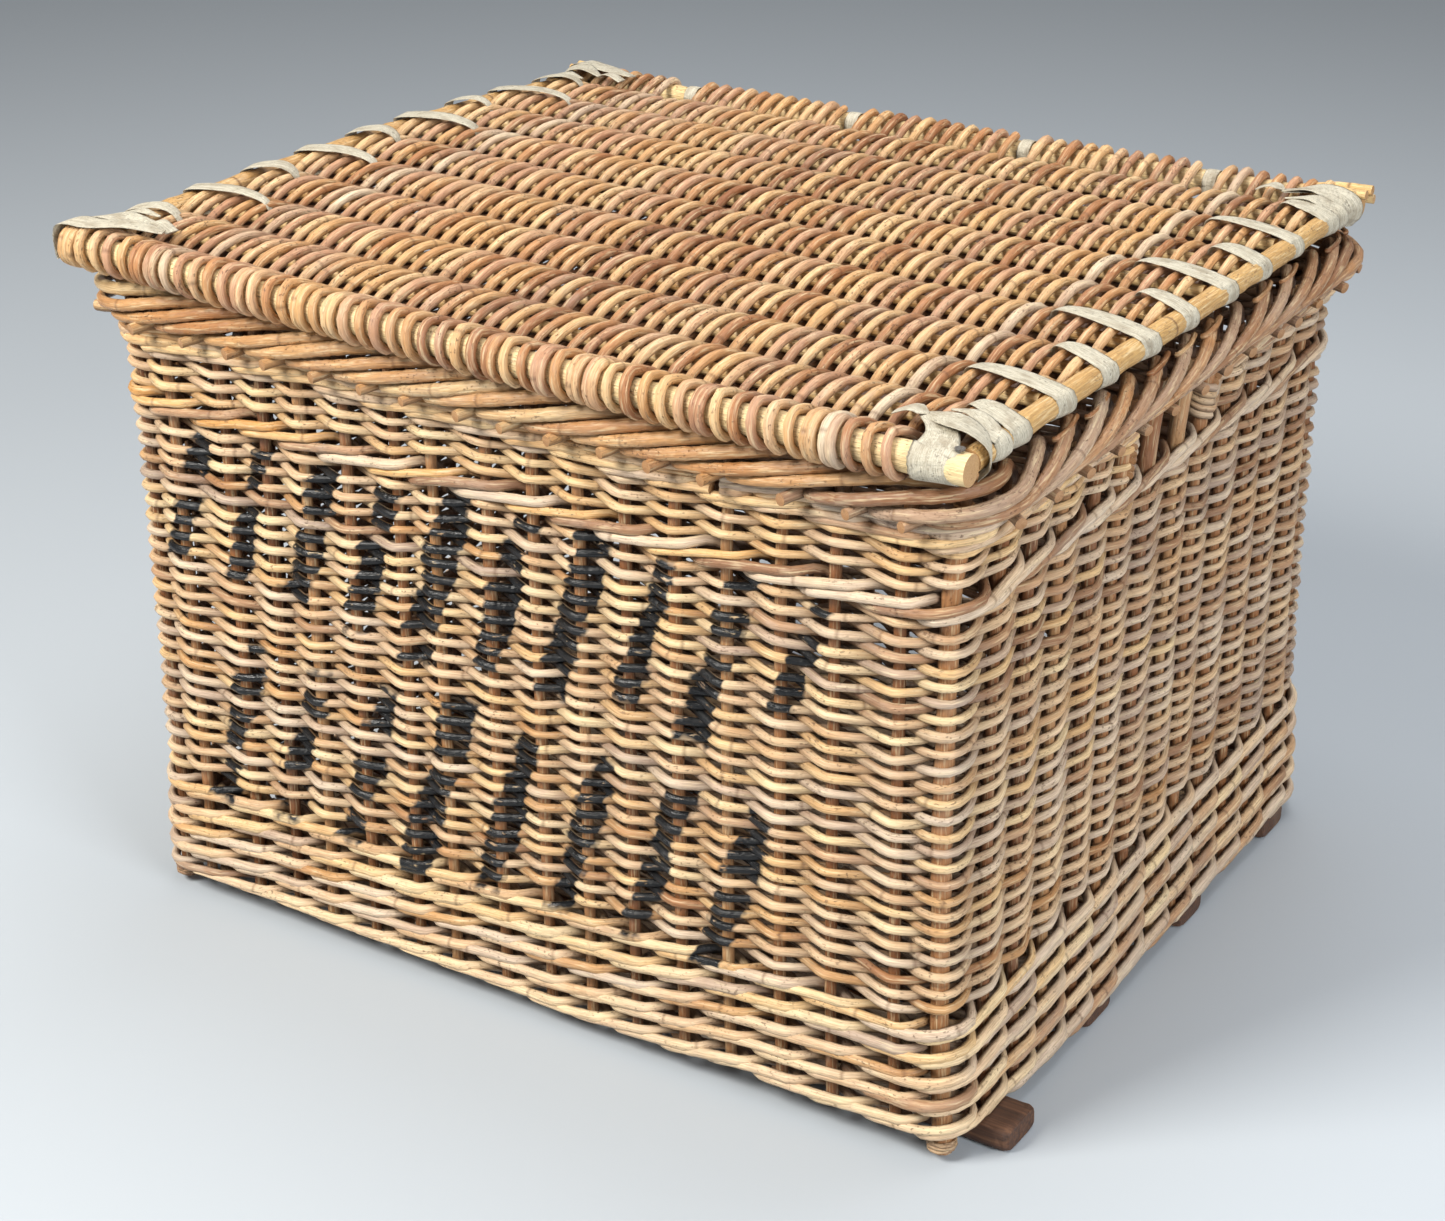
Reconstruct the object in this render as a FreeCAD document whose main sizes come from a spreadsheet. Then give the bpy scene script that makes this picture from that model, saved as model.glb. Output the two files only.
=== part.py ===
import FreeCAD, Part
import os
import Sketcher

# Wicker storage trunk: a rectangular cane basket on wooden runners, with a woven
# lid laced to the back rim by cane ties. Millimetres, +Z up, front towards -Y.

os.makedirs("parts", exist_ok=True)
doc = FreeCAD.newDocument("WickerTrunk")

# ---------------------------------------------------------------- driving sizes
SIZES = [
    ("TrunkLength", 866),            # outside of the side weave along X
    ("TrunkDepth", 738),             # outside of the side weave along Y
    ("WallThickness", 24),           # stake plus a weaver on each side
    ("CornerRadius", 45),
    ("RunnerHeight", 22),
    ("RunnerWidth", 52),
    ("RunnerPoke", 8),               # how far runner ends stand out past the wall
    ("RunnerInset", 75),             # outer runner's middle in from the wall face
    ("BaseThickness", 24),
    ("BaseStickDiameter", 16),
    ("BaseStickGrip", 5),            # how far base sticks reach into the wall
    ("BottomWaleHeight", 112),
    ("BottomWaleSwell", 4),
    ("BottomWaleRound", 8),
    ("SidingHeight", 348),
    ("AccentWaleHeight", 22),
    ("AccentWaleSwell", 2),
    ("UpperSidingHeight", 40),
    ("RimWaleHeight", 20),
    ("BorderHeight", 36),
    ("BorderFlare", 18),
    ("BorderRound", 15),
    ("StakeDiameter", 12),
    ("EndStakeDiameter", 15),
    ("CornerPostDiameter", 20),
    ("StakeFoot", 8),                # stake tips start this far above the runners
    ("PostFoot", 6),                 # corner posts end this far above the floor
    ("BoreClearance", 0.15),
    ("HandHoleWidth", 180),
    ("LashingThickness", 3),
    ("LidEndSetback", 11),           # lid bindings stop this far inside the border's ends
    ("LidBackSetback", 6),
    ("LidFrontOverhang", 20),
    ("LidShiftX", -2),               # the lid sits a little left of the basket's middle
    ("LidThickness", 26),
    ("LidGap", 1.5),                 # air between rim and wrapped front rod
    ("FrontRodDiameter", 24),
    ("FrontWrapDiameter", 40),
    ("BackRodDiameter", 22),
    ("BackWrapDiameter", 36),
    ("RibDiameter", 14),
    ("EndStickDiameter", 19),
    ("BindingWidth", 15),
    ("BindingThickness", 1.6),
    ("BindingLong", 75),
    ("BindingShort", 35),
    ("BindingClearance", 0.3),
    ("TieWidth", 14),
    ("TieThickness", 1.8),
    ("TieClearance", 0.25),
    ("TieSlotMargin", 1.5),
    ("TieSlotDepth", 44),
    ("StrapWidth", 15),
    ("NailDiameter", 3),
    ("NailHeadDiameter", 8),
    ("NailLength", 9),
]
DERIVED = [
    ("WaleBottom", "=RunnerHeight"),
    ("SidingBottom", "=WaleBottom + BottomWaleHeight"),
    ("AccentBottom", "=SidingBottom + SidingHeight"),
    ("UpperBottom", "=AccentBottom + AccentWaleHeight"),
    ("RimWaleBottom", "=UpperBottom + UpperSidingHeight"),
    ("BorderBottom", "=RimWaleBottom + RimWaleHeight"),
    ("BorderTop", "=BorderBottom + BorderHeight"),
    ("InnerRadius", "=CornerRadius - WallThickness"),
    ("StraightX", "=TrunkLength - 2 * CornerRadius"),
    ("StraightY", "=TrunkDepth - 2 * CornerRadius"),
    ("StakeTop", "=BorderBottom + BorderHeight / 2"),
    ("StakeLength", "=StakeTop - RunnerHeight - StakeFoot"),
    ("PostOffset", "=(CornerRadius - WallThickness / 2) * 0.70710678"),
    ("BorderHalfWide", "=(WallThickness + BorderFlare) / 2"),
    ("BorderReach", "=sqrt((BorderHalfWide - BorderRound) ^ 2 + (BorderHeight / 2 - BorderRound) ^ 2)"),
    ("TieStandout", "=BorderReach + BorderRound + TieClearance + TieThickness - BorderHalfWide"),
    ("BasketShiftX", "=0"),
    ("BasketShiftY", "=(LidFrontOverhang - TieStandout) / 2"),
    ("LidLength", "=TrunkLength + 2 * BorderFlare - 2 * LidEndSetback"),
    ("LidDepth", "=TrunkDepth + 2 * BorderFlare + LidFrontOverhang - LidBackSetback"),
    ("LidBack", "=BasketShiftY + TrunkDepth / 2 + BorderFlare - LidBackSetback"),
    ("LidLevel", "=BorderTop + LidGap + FrontWrapDiameter / 2"),
    ("FrontRodY", "=LidBack - LidDepth + FrontWrapDiameter / 2"),
    ("HingeY", "=LidBack - BackWrapDiameter / 2"),
    ("StickInset", "=BindingThickness + BindingClearance + EndStickDiameter / 2"),
    ("WeaveHalf", "=LidLength / 2 - StickInset - EndStickDiameter / 2 - BindingClearance"),
    ("BorderMidY", "=BasketShiftY + (TrunkDepth + BorderFlare - WallThickness) / 2"),
]
RUNNER_COUNT = 4
BASE_STICK_COUNT = 8
FRONT_STAKE_COUNT = 16
END_STAKE_COUNT = 12
RIB_COUNT = 9
TIE_STAKE_GAPS = (1, 5, 9, 13)       # spaces between back stakes that hold a hinge tie

sheet = doc.addObject("Spreadsheet::Sheet", "Dims")
for row, (alias, value) in enumerate(SIZES + DERIVED, start=1):
    sheet.set("A%d" % row, alias)
    sheet.set("B%d" % row, str(value))
    sheet.setAlias("B%d" % row, alias)
doc.recompute()


def dim(alias):
    """Current value of one sheet cell."""
    return float(getattr(sheet, alias))


def ref(text):
    """Prefix every sheet alias in an expression with the sheet's name."""
    out = []
    word = ""
    for letter in text + " ":
        if letter.isalnum() or letter == "_":
            word += letter
            continue
        out.append("Dims." + word if word[:1].isalpha() else word)
        out.append(letter)
        word = ""
    return "".join(out).strip()


TURNS = {
    "X": FreeCAD.Rotation(FreeCAD.Vector(0, 1, 0), 90),
    "Y": FreeCAD.Rotation(FreeCAD.Vector(1, 0, 0), -90),
    "Z": FreeCAD.Rotation(),
}


def place(obj, x, y, z):
    """Tie an object's position to sheet expressions."""
    obj.setExpression("Placement.Base.x", ref(x))
    obj.setExpression("Placement.Base.y", ref(y))
    obj.setExpression("Placement.Base.z", ref(z))
    return obj


def rod(name, along, radius, length, x, y, z):
    """Round rod from a start point, running along X, Y or Z."""
    obj = doc.addObject("Part::Cylinder", name)
    obj.Placement.Rotation = TURNS[along]
    obj.setExpression("Radius", ref(radius))
    obj.setExpression("Height", ref(length))
    return place(obj, x, y, z)


def block(name, length, width, height, x, y, z):
    """Rectangular block whose middle in X and Y is at x, y and whose foot is at z."""
    obj = doc.addObject("Part::Box", name)
    obj.setExpression("Length", ref(length))
    obj.setExpression("Width", ref(width))
    obj.setExpression("Height", ref(height))
    return place(obj, "%s - (%s) / 2" % (x, length), "%s - (%s) / 2" % (y, width), z)


def group(name, members):
    """Several separate solids that make one node."""
    obj = doc.addObject("Part::Compound", name)
    obj.Links = members
    return obj


def cut(name, base, tool):
    obj = doc.addObject("Part::Cut", name)
    obj.Base = base
    obj.Tool = tool
    return obj


def common(name, base, tool):
    obj = doc.addObject("Part::Common", name)
    obj.Base = base
    obj.Tool = tool
    return obj


def fuse(name, members):
    obj = doc.addObject("Part::MultiFuse", name)
    obj.Shapes = members
    obj.Refine = True
    return obj


def rectangle(sketch, label, width, depth):
    """Closed rectangle centred on the sketch origin, sized by two expressions."""
    first = sketch.GeometryCount
    corners = [(-50, -40), (50, -40), (50, 40), (-50, 40)]
    for index, (u, v) in enumerate(corners):
        nu, nv = corners[(index + 1) % 4]
        line = Part.LineSegment(FreeCAD.Vector(u, v, 0), FreeCAD.Vector(nu, nv, 0))
        sketch.addGeometry(line, False)
    for index in range(4):
        following = first + (index + 1) % 4
        sketch.addConstraint(Sketcher.Constraint("Coincident", first + index, 2, following, 1))
    sketch.addConstraint(Sketcher.Constraint("Horizontal", first))
    sketch.addConstraint(Sketcher.Constraint("Horizontal", first + 2))
    sketch.addConstraint(Sketcher.Constraint("Vertical", first + 1))
    sketch.addConstraint(Sketcher.Constraint("Vertical", first + 3))
    sketch.addConstraint(Sketcher.Constraint("Symmetric", first, 1, first + 1, 2, -1, 1))
    for word, edge, axis, size in (("Width", first, "X", width), ("Depth", first + 1, "Y", depth)):
        number = sketch.addConstraint(
            Sketcher.Constraint("Distance" + axis, edge, 1, edge, 2, 80.0)
        )
        sketch.renameConstraint(number, label + word)
        sketch.setExpression("Constraints." + label + word, ref(size))


def flat_sketch(body, name):
    """Sketch on the XY plane of a body."""
    plane = [item for item in body.Origin.OriginFeatures if item.Role == "XY_Plane"][0]
    sketch = body.newObject("Sketcher::SketchObject", name)
    sketch.AttachmentSupport = [(plane, "")]
    sketch.MapMode = "FlatFace"
    return sketch


def upright_edges(shape, half_x, half_y):
    """Names of the vertical edges that stand at one pair of corner distances."""
    names = []
    for number, edge in enumerate(shape.Edges, start=1):
        middle = edge.CenterOfMass
        box = edge.BoundBox
        upright = box.XLength < 0.01 and box.YLength < 0.01 and box.ZLength > 1
        at_x = abs(abs(middle.x) - half_x) < 0.05
        at_y = abs(abs(middle.y) - half_y) < 0.05
        if upright and at_x and at_y:
            names.append("Edge%d" % number)
    return names


def level_edges(shape, level):
    """Names of the edges that lie in one horizontal plane."""
    names = []
    for number, edge in enumerate(shape.Edges, start=1):
        box = edge.BoundBox
        if box.ZLength < 0.01 and abs(box.ZMin - level) < 0.01:
            names.append("Edge%d" % number)
    return names


def outer_level_edges(shape, level):
    """Names of the edges in one horizontal plane that run round the outside."""
    whole = shape.BoundBox
    names = []
    for name in level_edges(shape, level):
        box = shape.getElement(name).BoundBox
        at_x = box.XMax > whole.XMax - 0.1 or box.XMin < whole.XMin + 0.1
        at_y = box.YMax > whole.YMax - 0.1 or box.YMin < whole.YMin + 0.1
        if at_x or at_y:
            names.append(name)
    return names


def fillet(body, base, name, edges, radius):
    obj = body.newObject("PartDesign::Fillet", name)
    obj.Base = (base, edges)
    obj.setExpression("Radius", ref(radius))
    body.Tip = obj
    doc.recompute()
    return obj


def ring(name, swell, height, x, y, z):
    """Rounded rectangular band of wall, swelling outward past the side weave."""
    body = doc.addObject("PartDesign::Body", name)
    sketch = flat_sketch(body, name + "_Outline")
    rectangle(sketch, "Outer", "TrunkLength + 2 * (%s)" % swell, "TrunkDepth + 2 * (%s)" % swell)
    rectangle(sketch, "Inner", "TrunkLength - 2 * WallThickness", "TrunkDepth - 2 * WallThickness")
    pad = body.newObject("PartDesign::Pad", name + "_Pad")
    pad.Profile = sketch
    pad.setExpression("Length", ref(height))
    body.Tip = pad
    doc.recompute()
    half_x = pad.Shape.BoundBox.XMax
    half_y = pad.Shape.BoundBox.YMax
    outer = upright_edges(pad.Shape, half_x, half_y)
    rounded = fillet(body, pad, name + "_OuterCorners", outer, "CornerRadius + " + swell)
    inner_x = dim("TrunkLength") / 2 - dim("WallThickness")
    inner_y = dim("TrunkDepth") / 2 - dim("WallThickness")
    inner = upright_edges(rounded.Shape, inner_x, inner_y)
    fillet(body, rounded, name + "_InnerCorners", inner, "InnerRadius")
    return place(body, x, y, z)


# ---------------------------------------------------------------- base
NODES = []
MID = ("BasketShiftX", "BasketShiftY")

for index in range(RUNNER_COUNT):
    share = 2.0 * index / (RUNNER_COUNT - 1) - 1
    runner = doc.addObject("PartDesign::Body", "base_runner_%d" % (index + 1))
    outline = flat_sketch(runner, "RunnerOutline%d" % (index + 1))
    rectangle(outline, "Runner", "TrunkLength + 2 * RunnerPoke", "RunnerWidth")
    pad = runner.newObject("PartDesign::Pad", "RunnerPad%d" % (index + 1))
    pad.Profile = outline
    pad.setExpression("Length", ref("RunnerHeight"))
    runner.Tip = pad
    doc.recompute()
    ends = [
        "Edge%d" % number
        for number, edge in enumerate(pad.Shape.Edges, start=1)
        if edge.BoundBox.XLength < 0.01
    ]
    fillet(runner, pad, "RunnerEnds%d" % (index + 1), ends, "RunnerHeight / 7")
    place(runner, MID[0], "%s + %.6f * (TrunkDepth / 2 - RunnerInset)" % (MID[1], share), "0")
    NODES.append(runner)

base_rods = []
base_bores = []
for index in range(BASE_STICK_COUNT):
    share = (index + 0.5) / BASE_STICK_COUNT - 0.5
    at = (
        "%s + %.6f * (TrunkLength - 2 * WallThickness)" % (MID[0], share),
        "%s - TrunkDepth / 2 + WallThickness - BaseStickGrip" % MID[1],
        "RunnerHeight + BaseThickness / 2",
    )
    length = "TrunkDepth - 2 * WallThickness + 2 * BaseStickGrip"
    base_rods.append(rod("BaseStick%d" % index, "Y", "BaseStickDiameter / 2", length, *at))
    radius = "BaseStickDiameter / 2 + BoreClearance"
    base_bores.append(rod("BaseBore%d" % index, "Y", radius, length, *at))
base_sticks = group("base_sticks", base_rods)
base_bore_set = group("BaseBores", base_bores)
NODES.append(base_sticks)

floor = doc.addObject("PartDesign::Body", "BaseFloor")
floor_outline = flat_sketch(floor, "FloorOutline")
rectangle(
    floor_outline,
    "Floor",
    "TrunkLength - 2 * WallThickness - 2 * BoreClearance",
    "TrunkDepth - 2 * WallThickness - 2 * BoreClearance",
)
floor_pad = floor.newObject("PartDesign::Pad", "FloorPad")
floor_pad.Profile = floor_outline
floor_pad.setExpression("Length", ref("BaseThickness"))
floor.Tip = floor_pad
doc.recompute()
box = floor_pad.Shape.BoundBox
fillet(floor, floor_pad, "FloorCorners", upright_edges(floor_pad.Shape, box.XMax, box.YMax), "InnerRadius")
place(floor, MID[0], MID[1], "RunnerHeight")
NODES.append(cut("base_weave", floor, base_bore_set))

# ---------------------------------------------------------------- stakes and posts


def stake_row(wall, count, diameter):
    """Upright stakes of one wall and the slightly wider bores they stand in."""
    rods = []
    bores = []
    along_x = wall in ("front", "back")
    sign = "-" if wall in ("front", "left") else "+"
    for index in range(count):
        share = (index + 0.5) / count - 0.5
        if along_x:
            x = "%s + %.6f * StraightX" % (MID[0], share)
            y = "%s %s (TrunkDepth - WallThickness) / 2" % (MID[1], sign)
        else:
            x = "%s %s (TrunkLength - WallThickness) / 2" % (MID[0], sign)
            y = "%s + %.6f * StraightY" % (MID[1], share)
        foot = "RunnerHeight + StakeFoot"
        tag = "%s%d" % (wall.capitalize(), index)
        rods.append(rod("Stake" + tag, "Z", diameter + " / 2", "StakeLength", x, y, foot))
        wide = diameter + " / 2 + BoreClearance"
        bores.append(rod("Bore" + tag, "Z", wide, "StakeLength", x, y, foot))
    return group("stakes_" + wall, rods), group("Bores" + wall.capitalize(), bores)


bore_sets = {}
for wall, count, diameter in (
    ("front", FRONT_STAKE_COUNT, "StakeDiameter"),
    ("back", FRONT_STAKE_COUNT, "StakeDiameter"),
    ("left", END_STAKE_COUNT, "EndStakeDiameter"),
    ("right", END_STAKE_COUNT, "EndStakeDiameter"),
):
    stakes, bore_sets[wall] = stake_row(wall, count, diameter)
    NODES.append(stakes)

CORNERS = (
    ("front_left", -1, -1),
    ("front_right", 1, -1),
    ("back_left", -1, 1),
    ("back_right", 1, 1),
)
post_bores = []
lashings = []
for corner, side_x, side_y in CORNERS:
    x = "%s + %d * (TrunkLength / 2 - CornerRadius + PostOffset)" % (MID[0], side_x)
    y = "%s + %d * (TrunkDepth / 2 - CornerRadius + PostOffset)" % (MID[1], side_y)
    height = "StakeTop - PostFoot"
    post = rod("corner_post_" + corner, "Z", "CornerPostDiameter / 2", height, x, y, "PostFoot")
    NODES.append(post)
    wide = "CornerPostDiameter / 2 + BoreClearance"
    post_bores.append(rod("PostBore_" + corner, "Z", wide, height, x, y, "PostFoot"))
    sleeve = rod(
        "Lashing_" + corner, "Z", "CornerPostDiameter / 2 + LashingThickness",
        "RunnerHeight - PostFoot - 4", x, y, "PostFoot + 2",
    )
    lashings.append(cut("LashingRing_" + corner, sleeve, post_bores[-1]))
NODES.append(group("corner_lashings", lashings))
bore_sets["corners"] = group("BoresCorners", post_bores)
all_bores = group("BoresAll", list(bore_sets.values()))

# ---------------------------------------------------------------- woven walls
wale = ring("BottomWaleRing", "BottomWaleSwell", "BottomWaleHeight", *MID, "WaleBottom")
foot_edges = outer_level_edges(wale.Tip.Shape, 0)
fillet(wale, wale.Tip, "BottomWaleFoot", foot_edges, "BottomWaleRound")
bottom_bores = group("BottomBores", [all_bores, base_bore_set])
NODES.append(cut("bottom_wale", wale, bottom_bores))


def wall_block(name, wall, foot, height, start=None, end=None):
    """Straight part of one wall, or the stretch of an end wall from start to end."""
    sign = "-" if wall in ("front", "left") else "+"
    if wall in ("front", "back"):
        y = "%s %s (TrunkDepth - WallThickness) / 2" % (MID[1], sign)
        return block(name, "StraightX", "WallThickness", height, MID[0], y, foot)
    x = "%s %s (TrunkLength - WallThickness) / 2" % (MID[0], sign)
    if start is None:
        return block(name, "WallThickness", "StraightY", height, x, MID[1], foot)
    middle = "%s + (%s + %s) / 2" % (MID[1], start, end)
    return block(name, "WallThickness", "%s - (%s)" % (end, start), height, x, middle, foot)


def corner_blocks(name, foot, height):
    """Four blocks that pick the rounded corners out of a ring."""
    blocks = []
    for corner, side_x, side_y in CORNERS:
        x = "%s + %d * (TrunkLength - CornerRadius) / 2" % (MID[0], side_x)
        y = "%s + %d * (TrunkDepth - CornerRadius) / 2" % (MID[1], side_y)
        blocks.append(block(name + corner, "CornerRadius", "CornerRadius", height, x, y, foot))
    return group(name + "All", blocks)


for wall in ("front", "back", "left", "right"):
    panel = wall_block("SidingBlock_" + wall, wall, "SidingBottom", "SidingHeight")
    NODES.append(cut("siding_" + wall, panel, bore_sets[wall]))
siding_ring = ring("SidingRing", "0", "SidingHeight", *MID, "SidingBottom")
siding_picks = corner_blocks("SidingPick_", "SidingBottom", "SidingHeight")
siding_quarters = common("SidingQuarters", siding_ring, siding_picks)
NODES.append(cut("siding_corners", siding_quarters, bore_sets["corners"]))

accent = ring("AccentRing", "AccentWaleSwell", "AccentWaleHeight", *MID, "AccentBottom")
NODES.append(cut("accent_wale", accent, all_bores))

for wall in ("front", "back"):
    panel = wall_block("UpperBlock_" + wall, wall, "UpperBottom", "UpperSidingHeight")
    NODES.append(cut("upper_siding_" + wall, panel, bore_sets[wall]))
for wall in ("left", "right"):
    front_cheek = wall_block(
        "UpperFrontCheek_" + wall, wall, "UpperBottom", "UpperSidingHeight",
        "0 - StraightY / 2", "0 - HandHoleWidth / 2",
    )
    back_cheek = wall_block(
        "UpperBackCheek_" + wall, wall, "UpperBottom", "UpperSidingHeight",
        "HandHoleWidth / 2", "StraightY / 2",
    )
    cheeks = group("UpperCheeks_" + wall, [front_cheek, back_cheek])
    NODES.append(cut("upper_siding_" + wall, cheeks, bore_sets[wall]))
upper_ring = ring("UpperRing", "0", "UpperSidingHeight", *MID, "UpperBottom")
upper_picks = corner_blocks("UpperPick_", "UpperBottom", "UpperSidingHeight")
upper_quarters = common("UpperQuarters", upper_ring, upper_picks)
NODES.append(cut("upper_siding_corners", upper_quarters, bore_sets["corners"]))

# ---------------------------------------------------------------- hinge ties
# Each tie is a cane loop round the lid's back rod and the rim border below it.


def loop_prism(name, grow, width, x_text):
    """Prism along X whose outline wraps the back rod and the border's section."""
    rod_radius = dim("BackRodDiameter") / 2 + grow
    rim_radius = dim("BorderReach") + dim("BorderRound") + grow
    top = FreeCAD.Vector(0, dim("HingeY"), dim("LidLevel"))
    low = FreeCAD.Vector(0, dim("BorderMidY"), dim("StakeTop"))
    line = low - top
    distance = line.Length
    along = FreeCAD.Vector(line).normalize()
    across = FreeCAD.Vector(1, 0, 0).cross(along)
    sine = (rod_radius - rim_radius) / distance
    cosine = (1 - sine * sine) ** 0.5
    points = []
    for side in (1, -1):
        normal = along * sine + across * (side * cosine)
        points.append((top + normal * rod_radius, low + normal * rim_radius))
    (top_a, low_a), (top_b, low_b) = points
    edges = [
        Part.makeLine(top_a, low_a),
        Part.Arc(low_a, low + along * rim_radius, low_b).toShape(),
        Part.makeLine(low_b, top_b),
        Part.Arc(top_b, top - along * rod_radius, top_a).toShape(),
    ]
    face = Part.Face(Part.Wire(Part.__sortEdges__(edges)))
    obj = doc.addObject("Part::Feature", name)
    obj.Shape = face.extrude(FreeCAD.Vector(width, 0, 0))
    return place(obj, x_text + " - %.6f" % (width / 2), "0", "0")


ties = []
tie_pockets = []
tie_slots = []
for number, gap in enumerate(TIE_STAKE_GAPS, start=1):
    share = (gap + 1.0) / FRONT_STAKE_COUNT - 0.5
    x_text = "%s + %.6f * StraightX" % (MID[0], share)
    inner_grow = dim("TieClearance")
    outer_grow = inner_grow + dim("TieThickness")
    outside = loop_prism("TieOutside%d" % number, outer_grow, dim("TieWidth"), x_text)
    inside = loop_prism("TieInside%d" % number, inner_grow, dim("TieWidth") + 2, x_text)
    ties.append(cut("TieLoop%d" % number, outside, inside))
    pocket_width = dim("TieWidth") + 2 * dim("TieClearance")
    pocket_grow = outer_grow + dim("TieClearance")
    tie_pockets.append(loop_prism("TiePocket%d" % number, pocket_grow, pocket_width, x_text))
    tie_slots.append(block(
        "LidTieSlot%d" % number, "TieWidth + 2 * TieSlotMargin", "TieSlotDepth", "LidThickness * 2",
        x_text, "LidBack - TieSlotDepth / 2 + 1", "LidLevel - LidThickness",
    ))
NODES.append(group("hinge_ties", ties))
tie_pocket_set = group("TiePockets", tie_pockets)

# ---------------------------------------------------------------- rim
rim_ring = ring("RimRing", "AccentWaleSwell", "RimWaleHeight", *MID, "RimWaleBottom")
for half, sign in (("front", "-"), ("back", "+")):
    reach = "TrunkDepth / 2 + BorderFlare - HandHoleWidth / 2"
    middle = "%s %s (HandHoleWidth / 2 + (%s) / 2)" % (MID[1], sign, reach)
    picker = block(
        "RimPick_" + half, "TrunkLength + 2 * BorderFlare", reach, "RimWaleHeight",
        MID[0], middle, "RimWaleBottom",
    )
    piece = common("RimHalf_" + half, rim_ring, picker)
    tools = [all_bores] if half == "front" else [all_bores, tie_pocket_set]
    NODES.append(cut("rim_wale_" + half, piece, group("RimTools_" + half, tools)))

border_ring = ring("BorderRing", "BorderFlare", "BorderHeight", *MID, "BorderBottom")
for side, level in (("Top", dim("BorderHeight")), ("Bottom", 0.0)):
    tip = border_ring.Tip
    fillet(border_ring, tip, "Border" + side + "Round", level_edges(tip.Shape, level), "BorderRound")
NODES.append(cut("border", border_ring, all_bores))

# ---------------------------------------------------------------- lid frame
END_X = "(LidLength / 2 - StickInset)"
BARE_HALF = "(LidLength / 2 - BindingThickness - BindingClearance)"
front_rod = rod(
    "FrontRodBlank", "X", "FrontRodDiameter / 2", "2 * " + BARE_HALF,
    "LidShiftX - " + BARE_HALF, "FrontRodY", "LidLevel",
)
back_rod = rod(
    "lid_back_rod", "X", "BackRodDiameter / 2", "2 * " + BARE_HALF,
    "LidShiftX - " + BARE_HALF, "HingeY", "LidLevel",
)
NODES.append(back_rod)

STRAP_GROW = "(BindingThickness + BoreClearance)"
for side, sign in (("left", "-"), ("right", "+")):
    start = "FrontRodY + FrontRodDiameter / 2 + %s + BoreClearance" % STRAP_GROW
    end = "HingeY - BackRodDiameter / 2 - %s - BoreClearance" % STRAP_GROW
    NODES.append(rod(
        "lid_end_stick_" + side, "Y", "EndStickDiameter / 2", "%s - (%s)" % (end, start),
        "LidShiftX %s %s" % (sign, END_X), start, "LidLevel",
    ))

ribs = []
rib_bores = []
for index in range(RIB_COUNT):
    share = (index + 1.0) / (RIB_COUNT + 1)
    y = "FrontRodY + %.6f * (HingeY - FrontRodY)" % share
    start = "LidShiftX - WeaveHalf"
    ribs.append(rod("Rib%d" % index, "X", "RibDiameter / 2", "2 * WeaveHalf", start, y, "LidLevel"))
    wide = "RibDiameter / 2 + BoreClearance"
    rib_bores.append(rod("RibBore%d" % index, "X", wide, "2 * WeaveHalf", start, y, "LidLevel"))
NODES.append(group("lid_ribs", ribs))

# ---------------------------------------------------------------- lid weave and bindings
panel = block(
    "LidPanel", "2 * WeaveHalf", "HingeY - FrontRodY", "LidThickness",
    "LidShiftX", "(HingeY + FrontRodY) / 2", "LidLevel - LidThickness / 2",
)
front_wrap = rod(
    "FrontWrap", "X", "FrontWrapDiameter / 2", "2 * WeaveHalf",
    "LidShiftX - WeaveHalf", "FrontRodY", "LidLevel",
)
back_wrap = rod(
    "BackWrap", "X", "BackWrapDiameter / 2", "2 * WeaveHalf",
    "LidShiftX - WeaveHalf", "HingeY", "LidLevel",
)
lid_blank = fuse("LidBlank", [panel, front_wrap, back_wrap])

front_bore = rod(
    "FrontRodBore", "X", "FrontRodDiameter / 2 + BoreClearance", "2 * WeaveHalf",
    "LidShiftX - WeaveHalf", "FrontRodY", "LidLevel",
)
back_bore = rod(
    "BackRodBore", "X", "BackRodDiameter / 2 + BoreClearance", "2 * WeaveHalf",
    "LidShiftX - WeaveHalf", "HingeY", "LidLevel",
)
binding_slots = []
for side, sign in (("left", -1), ("right", 1)):
    bands = []
    for index in range(RIB_COUNT + 1):
        share = (index + 0.5) / (RIB_COUNT + 1)
        y = "FrontRodY + %.6f * (HingeY - FrontRodY)" % share
        reach = "BindingShort" if index % 2 else "BindingLong"
        tag = "%s%d" % (side.capitalize(), index)
        middle = "LidShiftX + %d * (LidLength / 2 - (%s) / 2)" % (sign, reach)
        high = "LidThickness + 2 * BindingClearance"
        outside = block(
            "BandOutside" + tag, reach, "BindingWidth", high + " + 2 * BindingThickness",
            middle, y, "LidLevel - LidThickness / 2 - BindingClearance - BindingThickness",
        )
        inside = block(
            "BandInside" + tag, reach + " - 2 * BindingThickness", "BindingWidth + 2", high,
            middle, y, "LidLevel - LidThickness / 2 - BindingClearance",
        )
        bands.append(cut("Band" + tag, outside, inside))
        slot_x = "LidShiftX + %d * (LidLength / 2 - %s + BindingThickness / 2)" % (sign, reach)
        binding_slots.append(block(
            "BandSlot" + tag, "BindingThickness + 2 * BindingClearance",
            "BindingWidth + 2 * BindingClearance", "LidThickness + 2",
            slot_x, y, "LidLevel - LidThickness / 2 - 1",
        ))
    NODES.append(group("lid_bindings_" + side, bands))

lid_tools = group("LidTools", [front_bore, back_bore] + rib_bores + binding_slots + tie_slots)
NODES.append(cut("lid_weave", lid_blank, lid_tools))

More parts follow.
